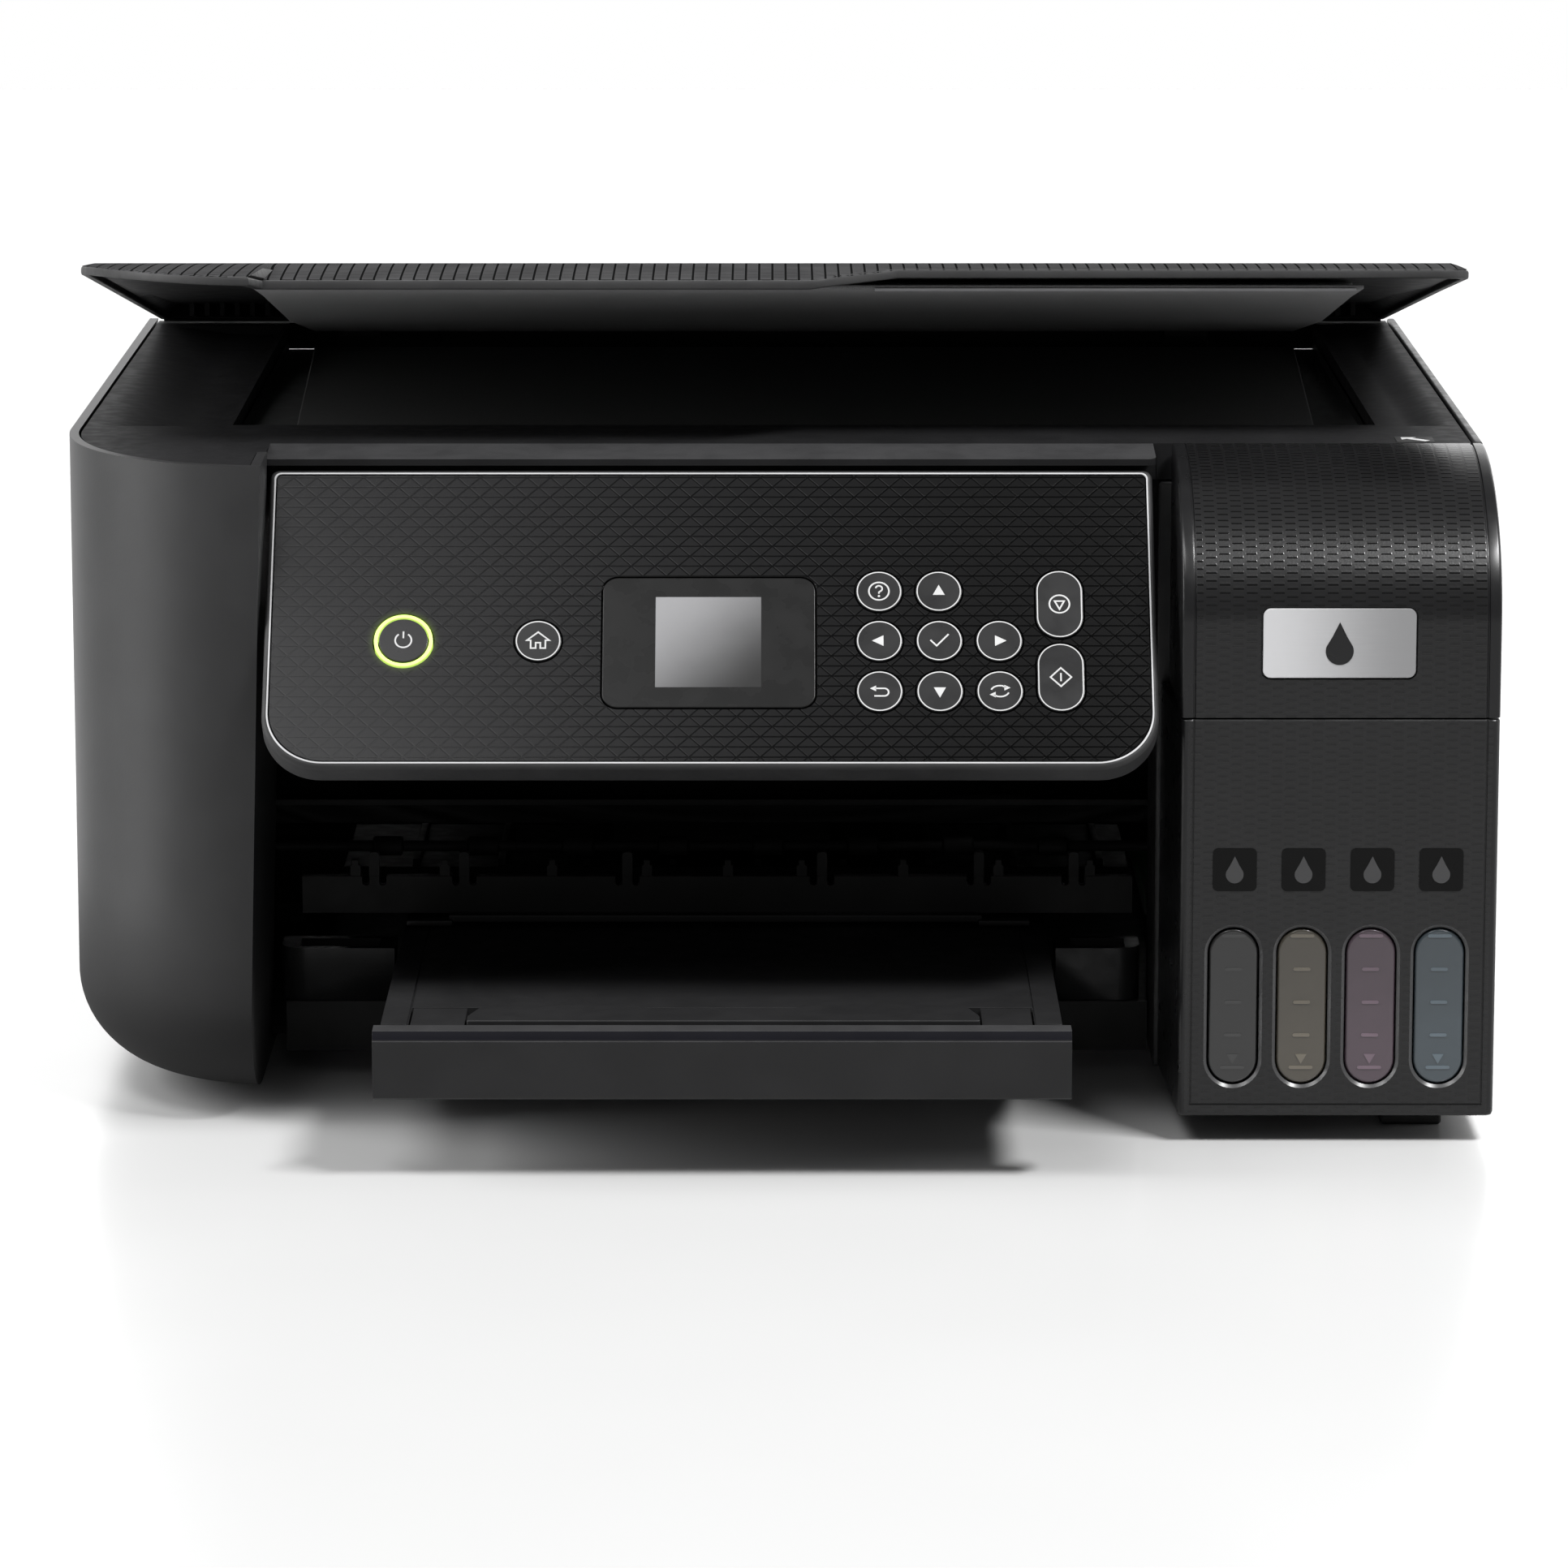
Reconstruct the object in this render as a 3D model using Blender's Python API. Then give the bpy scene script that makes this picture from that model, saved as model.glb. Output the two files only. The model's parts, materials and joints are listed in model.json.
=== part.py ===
"""Compact ink-tank printer with a flatbed scanner, a tilting control panel and a pull-out tray.

Frame: +X to the object's left-to-right seen from the front, -Y to the front, +Z up.
Origin: on the floor under the middle of the bounding box.
Every length below is in millimetres; MM turns it into Blender's metres.
At rest the lid stands a little open, the control panel is raised and the tray is pulled out.
"""
import math

import bmesh
import bpy
from mathutils import Vector

MM = 0.001
GAP = 0.4

# Outer case
HALF_WIDTH = 187.5
RIM_Z = 176.0
BASE_Z = 7.0
WALL = 2.5
TANK_FRONT = -153.5
REAR = TANK_FRONT + 347.0
CASE_REAR = TANK_FRONT + 325.0
INNER_OPEN = TANK_FRONT + 96.0

# Left column with its large front corner
COLUMN_RIGHT = -132.0
COLUMN_LEAN = 5.0
COLUMN_FRONT = TANK_FRONT + 12.0
CORNER_START = TANK_FRONT + 83.0
COLUMN_FLOOR = 3.0
SIDE_ROUND = (32.0, 28.0)
FRONT_ROUND = (50.0, 32.0)

# Ink tank unit
TANK_LEFT = 105.3
TANK_DEPTH = 56.9
TANK_SEAM = 112.0
TANK_CENTRES = (119.5, 137.3, 155.1, 172.9)
TANK_HALF = 8.4
WINDOW = (13.5, 15.4, 57.2)
COVER_KNEE = 137.0
COVER_AXIS = (TANK_FRONT + 55.0, 174.0)
CAP_AXIS = (TANK_FRONT + 37.0, 113.2)
CAP_CENTRE = TANK_FRONT + 24.0
CAP_RADIUS = 6.6

# Scanner unit
LEDGE_FRONT = TANK_FRONT + 40.0
LEDGE_RIGHT = 100.4
SCANNER_REAR = TANK_FRONT + 322.0
SCANNER_SIDE = 184.4
FRAME_Z = (166.0, 175.6)
BED = (-145.0, 162.0, TANK_FRONT + 93.0, TANK_FRONT + 317.0)
BED_Z = 168.0
TUB_Z = (150.0, 165.7)
SCANNER_AXIS = (TANK_FRONT + 320.0, 158.0)

# Document lid, drawn closed in its hinge's own frame
LID_AXIS = (TANK_FRONT + 320.0, 177.0)
LID_OPEN = 8.6
LID_SIDE = 184.0
LID_BOTTOM = 176.3
LID_RIM = 2.4
LID_TOP = 184.5
LID_FRONT = TANK_FRONT + 42.0
LID_FRONT_RIGHT = TANK_FRONT + 57.0
LID_CREST = TANK_FRONT + 80.0
LID_REAR = TANK_FRONT + 320.7

# Control panel, drawn upright in its hinge's own frame
PANEL_AXIS = (TANK_FRONT + 41.05, 164.07)
PANEL_TILT = 38.3
PANEL_X = (-131.3, 99.3)
PANEL_Z = (-82.7, 5.5)
PANEL_HALF_DEPTH = 4.5
PANEL_CORNER = 15.5
PANEL_TOP_CORNER = 2.5
FACE_INSET = 1.6
BUTTON_TOP = 4.0
BUTTON_RADIUS = 6.0
KEY_COLUMNS = (27.6, 43.1, 58.55)
KEY_ROWS = (35.2, 49.8, 64.6)
OBROUND_X = 74.3
OBROUND_ROWS = (39.0, 60.5)
OBROUND_HALF = (6.1, 10.0)
POWER = (-95.3, 49.7)
HOME = (-60.5, 49.8)
POWER_RING = (6.65, 7.6)
SCREEN = (-43.9, 11.1, 31.1, 69.3)

# Output tray, pulled out
TRAY_TOP = 38.5
TRAY_LEFT = -100.0
TRAY_RIGHT = 74.0
TRAY_REAR = TANK_FRONT + 125.0
LIP = (-101.7, 76.1, TANK_FRONT - 40.0, TANK_FRONT - 31.6)
LIP_Z = (21.0, 39.8)
STOPPER_AXIS = (TANK_FRONT - 28.3, 37.2)

# Print engine
EXIT_SHAFT = (TANK_FRONT + 107.0, 57.5)
FEED_SHAFT = (TANK_FRONT + 185.0, 46.0)
PICKUP_SHAFT = (TANK_FRONT + 300.0, 80.0)
FRAME_SIDE = 168.0
FRAME_FRONT = TANK_FRONT + 98.0
FRAME_REAR = TANK_FRONT + 200.0
RAIL_Y = TANK_FRONT + 190.0
SHEET = 1.6
CARRIAGE_X = (-44.0, 16.0)
PULLEY_X = 150.0
PULLEY_Z = 92.0
PULLEY_RADIUS = 6.0
BELT_Y = (TANK_FRONT + 197.5, TANK_FRONT + 202.5)

# Rear paper support, drawn upright in its slide's own frame
SUPPORT_TOP = (TANK_FRONT + 341.5, 187.0)
SUPPORT_LEAN = 10.0
SUPPORT_HALF = 104.0
SUPPORT_LENGTH = 118.0


def clear_scene():
    """Remove every object that the file opened with."""
    for old in list(bpy.data.objects):
        bpy.data.objects.remove(old, do_unlink=True)


def plastic(name, colour, roughness=0.55, metallic=0.0, alpha=1.0):
    """A Principled material with one colour."""
    made = bpy.data.materials.new(name)
    made.use_nodes = True
    shader = made.node_tree.nodes["Principled BSDF"]
    shader.inputs["Base Color"].default_value = (*colour, 1.0)
    shader.inputs["Roughness"].default_value = roughness
    shader.inputs["Metallic"].default_value = metallic
    shader.inputs["Alpha"].default_value = alpha
    made.diffuse_color = (*colour, 1.0)
    return made


# Outlines: lists of 2-D points


def rectangle(a0, a1, b0, b1):
    return [(a0, b0), (a1, b0), (a1, b1), (a0, b1)]


def arc(centre, radii, start, end, steps):
    """Points on an ellipse from start to end, in degrees."""
    points = []
    for k in range(steps + 1):
        t = math.radians(start + (end - start) * k / steps)
        points.append((centre[0] + radii[0] * math.cos(t), centre[1] + radii[1] * math.sin(t)))
    return points


def circle(centre, radius, steps=24):
    return arc(centre, (radius, radius), 0.0, 360.0, steps)[:-1]


def rounded(a0, a1, b0, b1, radii, steps=4):
    """A rectangle with corner radii in the order low-low, high-low, high-high, low-high."""
    spots = ((a0, b0, 1, 1, 180), (a1, b0, -1, 1, 270), (a1, b1, -1, -1, 0), (a0, b1, 1, -1, 90))
    points = []
    for (a, b, da, db, start), radius in zip(spots, radii):
        centre = (a + da * radius, b + db * radius)
        points += arc(centre, (radius, radius), start, start + 90, steps)
    return points


def obround(centre, half_width, half_height, steps=8):
    """A slot shape, round at its top and bottom."""
    reach = half_height - half_width
    top = arc((centre[0], centre[1] + reach), (half_width, half_width), 0, 180, steps)
    bottom = arc((centre[0], centre[1] - reach), (half_width, half_width), 180, 360, steps)
    return top + bottom


def gear(centre, root, tip, teeth):
    """A plain straight-sided gear outline."""
    points = []
    for k in range(teeth):
        for part, radius in ((0.0, root), (0.3, tip), (0.5, tip), (0.8, root)):
            t = 2 * math.pi * (k + part) / teeth
            points.append((centre[0] + radius * math.cos(t), centre[1] + radius * math.sin(t)))
    return points


# Solids: (corners, faces) in millimetres


def along(axis, point, height):
    """A 3-D point from an outline point in the plane across axis, and its height along it."""
    a, b = point
    return {"X": (height, a, b), "Y": (a, height, b), "Z": (a, b, height)}[axis]


def loft(rings):
    """A closed solid through rings of equally many 3-D points."""
    count = len(rings[0])
    corners = [p for ring in rings for p in ring]
    faces = [tuple(range(count)), tuple(range((len(rings) - 1) * count, len(rings) * count))]
    for r in range(len(rings) - 1):
        for k in range(count):
            here = r * count + k
            beside = r * count + (k + 1) % count
            faces.append((here, beside, beside + count, here + count))
    return corners, faces


def prism(axis, outline, low, high):
    return loft([[along(axis, p, height) for p in outline] for height in (low, high)])


def block(x0, x1, y0, y1, z0, z1):
    return prism("Z", rectangle(x0, x1, y0, y1), z0, z1)


def rod(axis, centre, radius, low, high, steps=24):
    return prism(axis, circle(centre, radius, steps), low, high)


def turned(axis, centre, profile, steps=24):
    """A turned solid; profile is a list of (distance along the axis, radius)."""
    return loft([[along(axis, p, at) for p in circle(centre, radius, steps)] for at, radius in profile])


# Objects


def pivot(name, y, z, lean=0.0, x=0.0):
    """An empty on a joint's axis; lean turns its frame about X, in degrees."""
    empty = bpy.data.objects.new(name, None)
    empty.location = Vector((x, y, z)) * MM
    empty.rotation_euler = (math.radians(lean), 0.0, 0.0)
    bpy.context.scene.collection.objects.link(empty)
    return empty


def add(name, solid, look=None, on=None, local=False):
    """Make an object. With on, it rides on that empty; local corners are in the empty's frame."""
    shift = Vector((0, 0, 0)) if on is None or local else on.location / MM
    corners, faces = solid
    work = bmesh.new()
    made = [work.verts.new((Vector(p) - shift) * MM) for p in corners]
    for face in faces:
        work.faces.new([made[k] for k in face])
    bmesh.ops.recalc_face_normals(work, faces=work.faces)
    mesh = bpy.data.meshes.new(name)
    work.to_mesh(mesh)
    work.free()
    piece = bpy.data.objects.new(name, mesh)
    piece.parent = on
    if look is not None:
        mesh.materials.append(look)
    bpy.context.scene.collection.objects.link(piece)
    return piece


def several(solids):
    """One list of corners and faces from solids that don't touch each other."""
    corners = []
    faces = []
    for more_corners, more_faces in solids:
        start = len(corners)
        corners += more_corners
        faces += [tuple(start + k for k in face) for face in more_faces]
    return corners, faces


def change(piece, kind, solids, local=False):
    """Boolean a group of separate solids into or out of a piece."""
    tool = add(f"{kind.lower()}_{len(bpy.data.objects)}", several(solids), None, piece.parent, local)
    tool.hide_render = True
    tool.display_type = "WIRE"
    step = piece.modifiers.new(kind.lower(), "BOOLEAN")
    step.operation = kind
    step.solver = "EXACT"
    step.object = tool


def cut(piece, *solids, local=False):
    change(piece, "DIFFERENCE", solids, local)


def join(piece, *solids, local=False):
    """Union each solid in turn, so that they may also overlap each other."""
    for solid in solids:
        change(piece, "UNION", [solid], local)


def soften(piece, width, segments=1):
    """Break the sharp edges."""
    bevel = piece.modifiers.new("soften", "BEVEL")
    bevel.width = width * MM
    bevel.segments = segments
    bevel.limit_method = "ANGLE"
    bevel.angle_limit = math.radians(50)


# The case


def run_in(z, top, run, rise):
    """How far a rounded lower edge has drawn in at height z."""
    if z >= top:
        return 0.0
    return run * (1 - math.sqrt(max(0.0, 1 - ((top - z) / rise) ** 2)))


def column_ring(z, inset, rear):
    """The left case's plan at height z, drawn in by inset."""
    side_top = COLUMN_FLOOR + SIDE_ROUND[1]
    front_top = COLUMN_FLOOR + FRONT_ROUND[1]
    side = -HALF_WIDTH + inset
    side += run_in(z, side_top, SIDE_ROUND[0] - inset, SIDE_ROUND[1] - inset)
    front = COLUMN_FRONT + inset
    front += run_in(z, front_top, FRONT_ROUND[0] - inset, FRONT_ROUND[1] - inset)
    right = COLUMN_RIGHT - COLUMN_LEAN * (1 - z / RIM_Z) - inset
    radii = (COLUMN_RIGHT - side, CORNER_START - front)
    end = math.degrees(math.acos((COLUMN_RIGHT - right) / radii[0]))
    corner = arc((COLUMN_RIGHT, CORNER_START), radii, 180, 180 + end, 12)
    ring = [(side, rear)] + corner + [(right, rear)]
    return [(x, y, z) for x, y in ring]


def column_heights(floor, top):
    """Ring heights, closest together where the lower edges are round."""
    knee = COLUMN_FLOOR + FRONT_ROUND[1]
    steps = 7
    return [knee - (knee - floor) * math.cos(math.pi / 2 * k / steps) for k in range(steps + 1)] + [top]


def make_left_case(look):
    heights = column_heights(COLUMN_FLOOR, RIM_Z)
    case = add("left_case", loft([column_ring(z, 0.0, CASE_REAR) for z in heights]), look)
    floor = COLUMN_FLOOR + WALL
    hollow = [column_ring(z, WALL, CASE_REAR + 5) for z in column_heights(floor, RIM_Z + 5)]
    cut(case, loft(hollow))
    cut(case, block(-142, -125, INNER_OPEN, CASE_REAR + 10, 6.2, 190))
    cut(case, block(-136, -125, LEDGE_FRONT - 1, INNER_OPEN + 1, 165.5, 190))


def make_right_case(look):
    front = TANK_FRONT + TANK_DEPTH + GAP
    case = add("right_case", block(102, HALF_WIDTH, front, CASE_REAR, BASE_Z, RIM_Z), look)
    inner = HALF_WIDTH - WALL
    cut(case, block(104.4, inner, front + 2.2, CASE_REAR + 5, 9.5, 190))
    cut(case, block(95, inner, INNER_OPEN, CASE_REAR + 6, 0, 189))
    cut(case, block(96, inner, front - 5, INNER_OPEN + 1, 165.5, 188))


def make_base_pan(look):
    front = INNER_OPEN + 0.9
    pan = add("base_pan", block(-160, 184.6, front, SCANNER_REAR, BASE_Z, 9.5), look)
    for x in (-96.5, 70.5):
        join(pan, block(x - 2.5, x + 2.5, TANK_FRONT + 100, TANK_FRONT + 245, 9, 26.7))
    y, z = PICKUP_SHAFT
    for x in (-64, 64):
        join(pan, block(x - 2.5, x + 2.5, y - 6, y + 6, 9, z + 8))
    cut(pan, rod("X", (y, z), 3.4, -80, 80))


def make_rear_cover(look):
    y0 = CASE_REAR + GAP
    outline = rounded(-186.5, 186.5, y0, REAR, (0.5, 0.5, 10, 10))
    cover = add("rear_cover", prism("Z", outline, BASE_Z, 165), look)
    join(cover, block(-118, 118, REAR - 3.4, REAR - 0.3, 150, 186.7))
    cut(cover, block(-184, 184, y0 - 5, REAR - 3.2, 9.5, 162.5))
    cut(cover, block(-112, 112, y0 - 5, REAR - 3.3, 150, 190))
    cut(cover, block(-160.4, -135.6, REAR - 10, REAR + 5, 19.6, 40.4))
    cut(cover, block(139.6, 154.4, REAR - 10, REAR + 5, 14.6, 28.4))


def make_front_frame(look):
    """The wall under the tray with its short floor, and the two blocks beside the tray."""
    y0 = TANK_FRONT + 77
    frame = add("front_frame", block(-131.5, 101.4, y0, y0 + 3, BASE_Z, 20.6), look)
    join(frame, block(-131.4, 101.3, y0 + 1, INNER_OPEN + 0.3, BASE_Z, 9.5))
    for x0, x1, radii in ((-133, -103.4, (7, 2, 1, 1)), (78, 99.5, (2, 6, 1, 1))):
        join(frame, prism("Z", rounded(x0, x1, y0 + 1, y0 + 17, radii), 19, 35))
        cut(frame, block(x0 + 5, x1 - 4, y0 + 4, y0 + 14, 29, 40))


def make_feet(look):
    spots = {
        "foot_front_left": (-154.7, -138.3, TANK_FRONT + 83, COLUMN_FLOOR),
        "foot_rear_left": (-154.7, -138.3, TANK_FRONT + 290, COLUMN_FLOOR),
        "foot_front_right": (160.0, 176.0, TANK_FRONT + 20, BASE_Z),
        "foot_rear_right": (150.0, 166.0, TANK_FRONT + 290, BASE_Z),
    }
    for name, (x0, x1, y, top) in spots.items():
        soften(add(name, block(x0, x1, y, y + 14, 0, top - 0.3), look), 0.6)


# Ink tanks


def make_tank_housing(look):
    y1 = TANK_FRONT + TANK_DEPTH
    outer = [(TANK_LEFT, TANK_FRONT), (HALF_WIDTH, TANK_FRONT), (HALF_WIDTH, y1), (TANK_LEFT - 2.1, y1)]
    housing = add("tank_housing", prism("Z", outer, BASE_Z, TANK_SEAM), look)
    cut(housing, block(TANK_LEFT + 2.2, HALF_WIDTH - 2.2, TANK_FRONT + 2.2, y1 - 2.2, 9.2, 150))
    half_height = (WINDOW[2] - WINDOW[1]) / 2
    middle = (WINDOW[2] + WINDOW[1]) / 2
    for x in TANK_CENTRES:
        hole = obround((x, middle), WINDOW[0] / 2, half_height)
        cut(housing, prism("Y", hole, TANK_FRONT - 3, TANK_FRONT + 6))


def make_tank(name, x, look):
    half_height = (WINDOW[2] - WINDOW[1]) / 2 - GAP
    middle = (WINDOW[2] + WINDOW[1]) / 2
    y0 = TANK_FRONT + 3.2
    tank = add(name, block(x - TANK_HALF, x + TANK_HALF, y0, TANK_FRONT + 53, 9.6, 107), look)
    window = obround((x, middle), WINDOW[0] / 2 - GAP, half_height)
    join(tank, prism("Y", window, TANK_FRONT + 0.5, y0 + 1))
    join(tank, rod("Z", (x, CAP_CENTRE), 5.5, 106, 111, 20))
    y, _ = CAP_AXIS
    join(tank, block(x - 4, x + 4, y - 2, y + 2, 106, 110.9))


def make_cap(name, x, look):
    y, z = CAP_AXIS
    hinge = pivot(f"{name}_hinge", y, z, x=x)
    cap = add(name, rod("Z", (x, CAP_CENTRE), CAP_RADIUS, 111.4, 116), look, hinge)
    join(cap, block(x - 3, x + 3, CAP_CENTRE, y, 112, 114.5))
    join(cap, rod("X", (y, z), 1.8, x - 4, x + 4, 12))


def cover_profile(inset, low, back):
    """The tank cover's side view: an upright front that curves back to the rim."""
    radii = (TANK_DEPTH - 0.2 - inset, RIM_Z - COVER_KNEE - inset)
    curve = arc((TANK_FRONT + TANK_DEPTH - 0.2, COVER_KNEE), radii, 180, 92, 12)
    return [(TANK_FRONT + inset, low)] + curve + back


def make_tank_cover(look, badge_look):
    y, z = COVER_AXIS
    hinge = pivot("tank_cover_hinge", y, z)
    rear = TANK_FRONT + 56.5
    low = TANK_SEAM + GAP
    outer = cover_profile(0.0, low, [(rear - 1.1, RIM_Z), (rear, RIM_Z - 1.4), (rear, low)])
    inner = cover_profile(WALL, 90.0, [(rear + 9, RIM_Z - WALL), (rear + 9, 90.0)])
    cover = add("tank_cover", prism("X", outer, TANK_LEFT, HALF_WIDTH), look, hinge)
    cut(cover, prism("X", inner, TANK_LEFT + WALL, HALF_WIDTH - WALL))
    badge = (125.7, 165.8, 122.5, 141.3)
    pocket = rounded(*badge, (2.4,) * 4)
    cut(cover, prism("Y", pocket, TANK_FRONT - 5, TANK_FRONT + 1.2))
    plate = rounded(badge[0] + GAP, badge[1] - GAP, badge[2] + GAP, badge[3] - GAP, (2.0,) * 4)
    add("tank_badge", prism("Y", plate, TANK_FRONT - 0.4, TANK_FRONT + 0.8), badge_look, hinge)


# Scanner unit and lid


def scanner_outline(side, inset):
    """Plan of the scanner unit: it fills the big corner, steps back behind the panel and the tanks."""
    front = COLUMN_FRONT + inset
    radii = (COLUMN_RIGHT + side, CORNER_START - front)
    left = COLUMN_RIGHT - 2.9
    end = math.degrees(math.acos((COLUMN_RIGHT - left) / radii[0]))
    behind_tank = TANK_FRONT + TANK_DEPTH + 0.9
    corner = arc((COLUMN_RIGHT, CORNER_START), radii, 180, 180 + end, 12)
    steps = [(left, LEDGE_FRONT), (LEDGE_RIGHT, LEDGE_FRONT), (LEDGE_RIGHT, behind_tank)]
    return [(-side, SCANNER_REAR)] + corner + steps + [(side, behind_tank), (side, SCANNER_REAR)]


def make_scanner(looks):
    hinge = pivot("scanner_hinge", *SCANNER_AXIS)
    outline = scanner_outline(SCANNER_SIDE, 3.4)
    frame = add("scanner_frame", prism("Z", outline, *FRAME_Z), looks["case"], hinge)
    x0, x1, y0, y1 = BED
    cut(frame, block(x0, x1, y0, y1, BED_Z, 180))
    cut(frame, block(x0 + 4, x1 - 4, y0 + 4, y1 - 4, 160, BED_Z + 1))
    cut(frame, block(COLUMN_RIGHT - 2.9 - GAP, LEDGE_RIGHT + 1, LEDGE_FRONT - 2, LEDGE_FRONT + 18, 160, 172.2))
    for x in (-124, 124):
        cut(frame, block(x - 8, x + 8, TANK_FRONT + 312, TANK_FRONT + 330, 170.5, 180))
    tub_front = INNER_OPEN + 1
    tub_rear = SCANNER_REAR - 2
    tub = add("scanner_tub", block(-176, 176, tub_front, tub_rear, *TUB_Z), looks["inner"], hinge)
    cut(tub, block(-172, 172, tub_front + 2.5, tub_rear - 3, TUB_Z[0] + 2.5, 170))
    for x in (-153, 153):
        join(tub, block(x - 3, x + 3, tub_rear - 1, tub_rear + 3.0, TUB_Z[0] + 2, TUB_Z[1] - 1.5))
    glass = block(x0 + GAP, x1 - GAP, y0 + GAP, y1 - GAP, BED_Z + 0.3, BED_Z + 3.8)
    add("platen_glass", glass, looks["glass"], hinge)
    slide = pivot("scan_bar_slide", y0 + 110, 160, x=-130)
    bar = add("scan_bar", block(-139, -121, y0 + 8, y1 - 6, 156, 167.6), looks["inner"], slide)
    cut(bar, block(-132.5, -127.5, y0 + 10, y1 - 10, 166, 170))


def lid_outline():
    """Plan of the closed lid as (x, y, bottom height, crest point)."""
    radii = (LID_SIDE + COLUMN_RIGHT, CORNER_START - COLUMN_FRONT - 3.6)
    points = [(-LID_SIDE, LID_REAR)]
    points += arc((COLUMN_RIGHT, CORNER_START), radii, 180, 267, 12)
    points += [(COLUMN_RIGHT - 1.4, LID_FRONT)]
    for k in range(9):
        t = k / 8
        ease = t * t * (3 - 2 * t)
        points.append((10 + 23 * t, LID_FRONT + (LID_FRONT_RIGHT - LID_FRONT) * ease))
    points += arc((LID_SIDE - 9, LID_FRONT_RIGHT + 9), (9, 9), 270, 360, 4)
    points += [(LID_SIDE, LID_REAR)]
    return points


def lid_ring(points, kind, inset):
    """One ring of the lid, drawn in by inset: its lower edge, the rim's top or the crest."""
    ring = []
    for x, y in points:
        lift = 3.0 * min(1.0, max(0.0, (x - 10) / 23)) if y < LID_CREST else 0.0
        px = x * (1 - inset / LID_SIDE)
        py = y + inset if y < LID_CREST + 20 else y - inset
        if kind == "crest":
            px = x * (1 - (inset + 3.5) / LID_SIDE)
            py = max(y, LID_CREST) + inset if y < LID_CREST + 20 else y - inset - 1.5
            ring.append((px, py, LID_TOP))
        else:
            rise = LID_RIM if kind == "rim" else 0.0
            ring.append((px, py, LID_BOTTOM + lift + rise))
    return ring


def lowered(ring, amount):
    return [(x, y, z - amount) for x, y, z in ring]


def in_frame(solid, y, z):
    """Corners relative to a hinge at y, z."""
    corners, faces = solid
    return [(px, py - y, pz - z) for px, py, pz in corners], faces


def make_lid(looks):
    hinge = pivot("lid_hinge", *LID_AXIS, lean=-LID_OPEN)

    def shut(solid):
        return in_frame(solid, *LID_AXIS)

    points = lid_outline()
    rings = [lid_ring(points, kind, 0.0) for kind in ("edge", "rim", "crest")]
    lid = add("lid", shut(loft(rings)), looks["case"], hinge, local=True)
    under = lowered(lid_ring(points, "edge", 3.0), 8.0)
    hollow = [under, lowered(lid_ring(points, "rim", 3.0), 1.2), lowered(lid_ring(points, "crest", 3.0), 4.0)]
    cut(lid, shut(loft(hollow)), local=True)
    for x in (-124, 124):
        lug = block(x - 6, x + 6, TANK_FRONT + 317, TANK_FRONT + 321, 172, 181)
        join(lid, shut(lug), local=True)
    x0, x1 = BED[0] + 8, BED[1] - 6
    pad = shut(block(x0, x1, TANK_FRONT + 97, TANK_FRONT + 309, 172.4, 180.1))
    mat = add("document_pad", pad, looks["pad"], hinge, local=True)
    join(mat, shut(block(x0, x1, TANK_FRONT + 62, TANK_FRONT + 98, 176.4, 178.2)), local=True)


# Control panel


def panel_outline(inset):
    low, high = PANEL_CORNER - inset * 0.6, max(0.6, PANEL_TOP_CORNER - inset * 0.6)
    x0, x1 = PANEL_X[0] + inset, PANEL_X[1] - inset
    z0, z1 = PANEL_Z[0] + inset, PANEL_Z[1] - inset
    return rounded(x0, x1, z0, z1, (low, low, high, high), 6)


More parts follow.
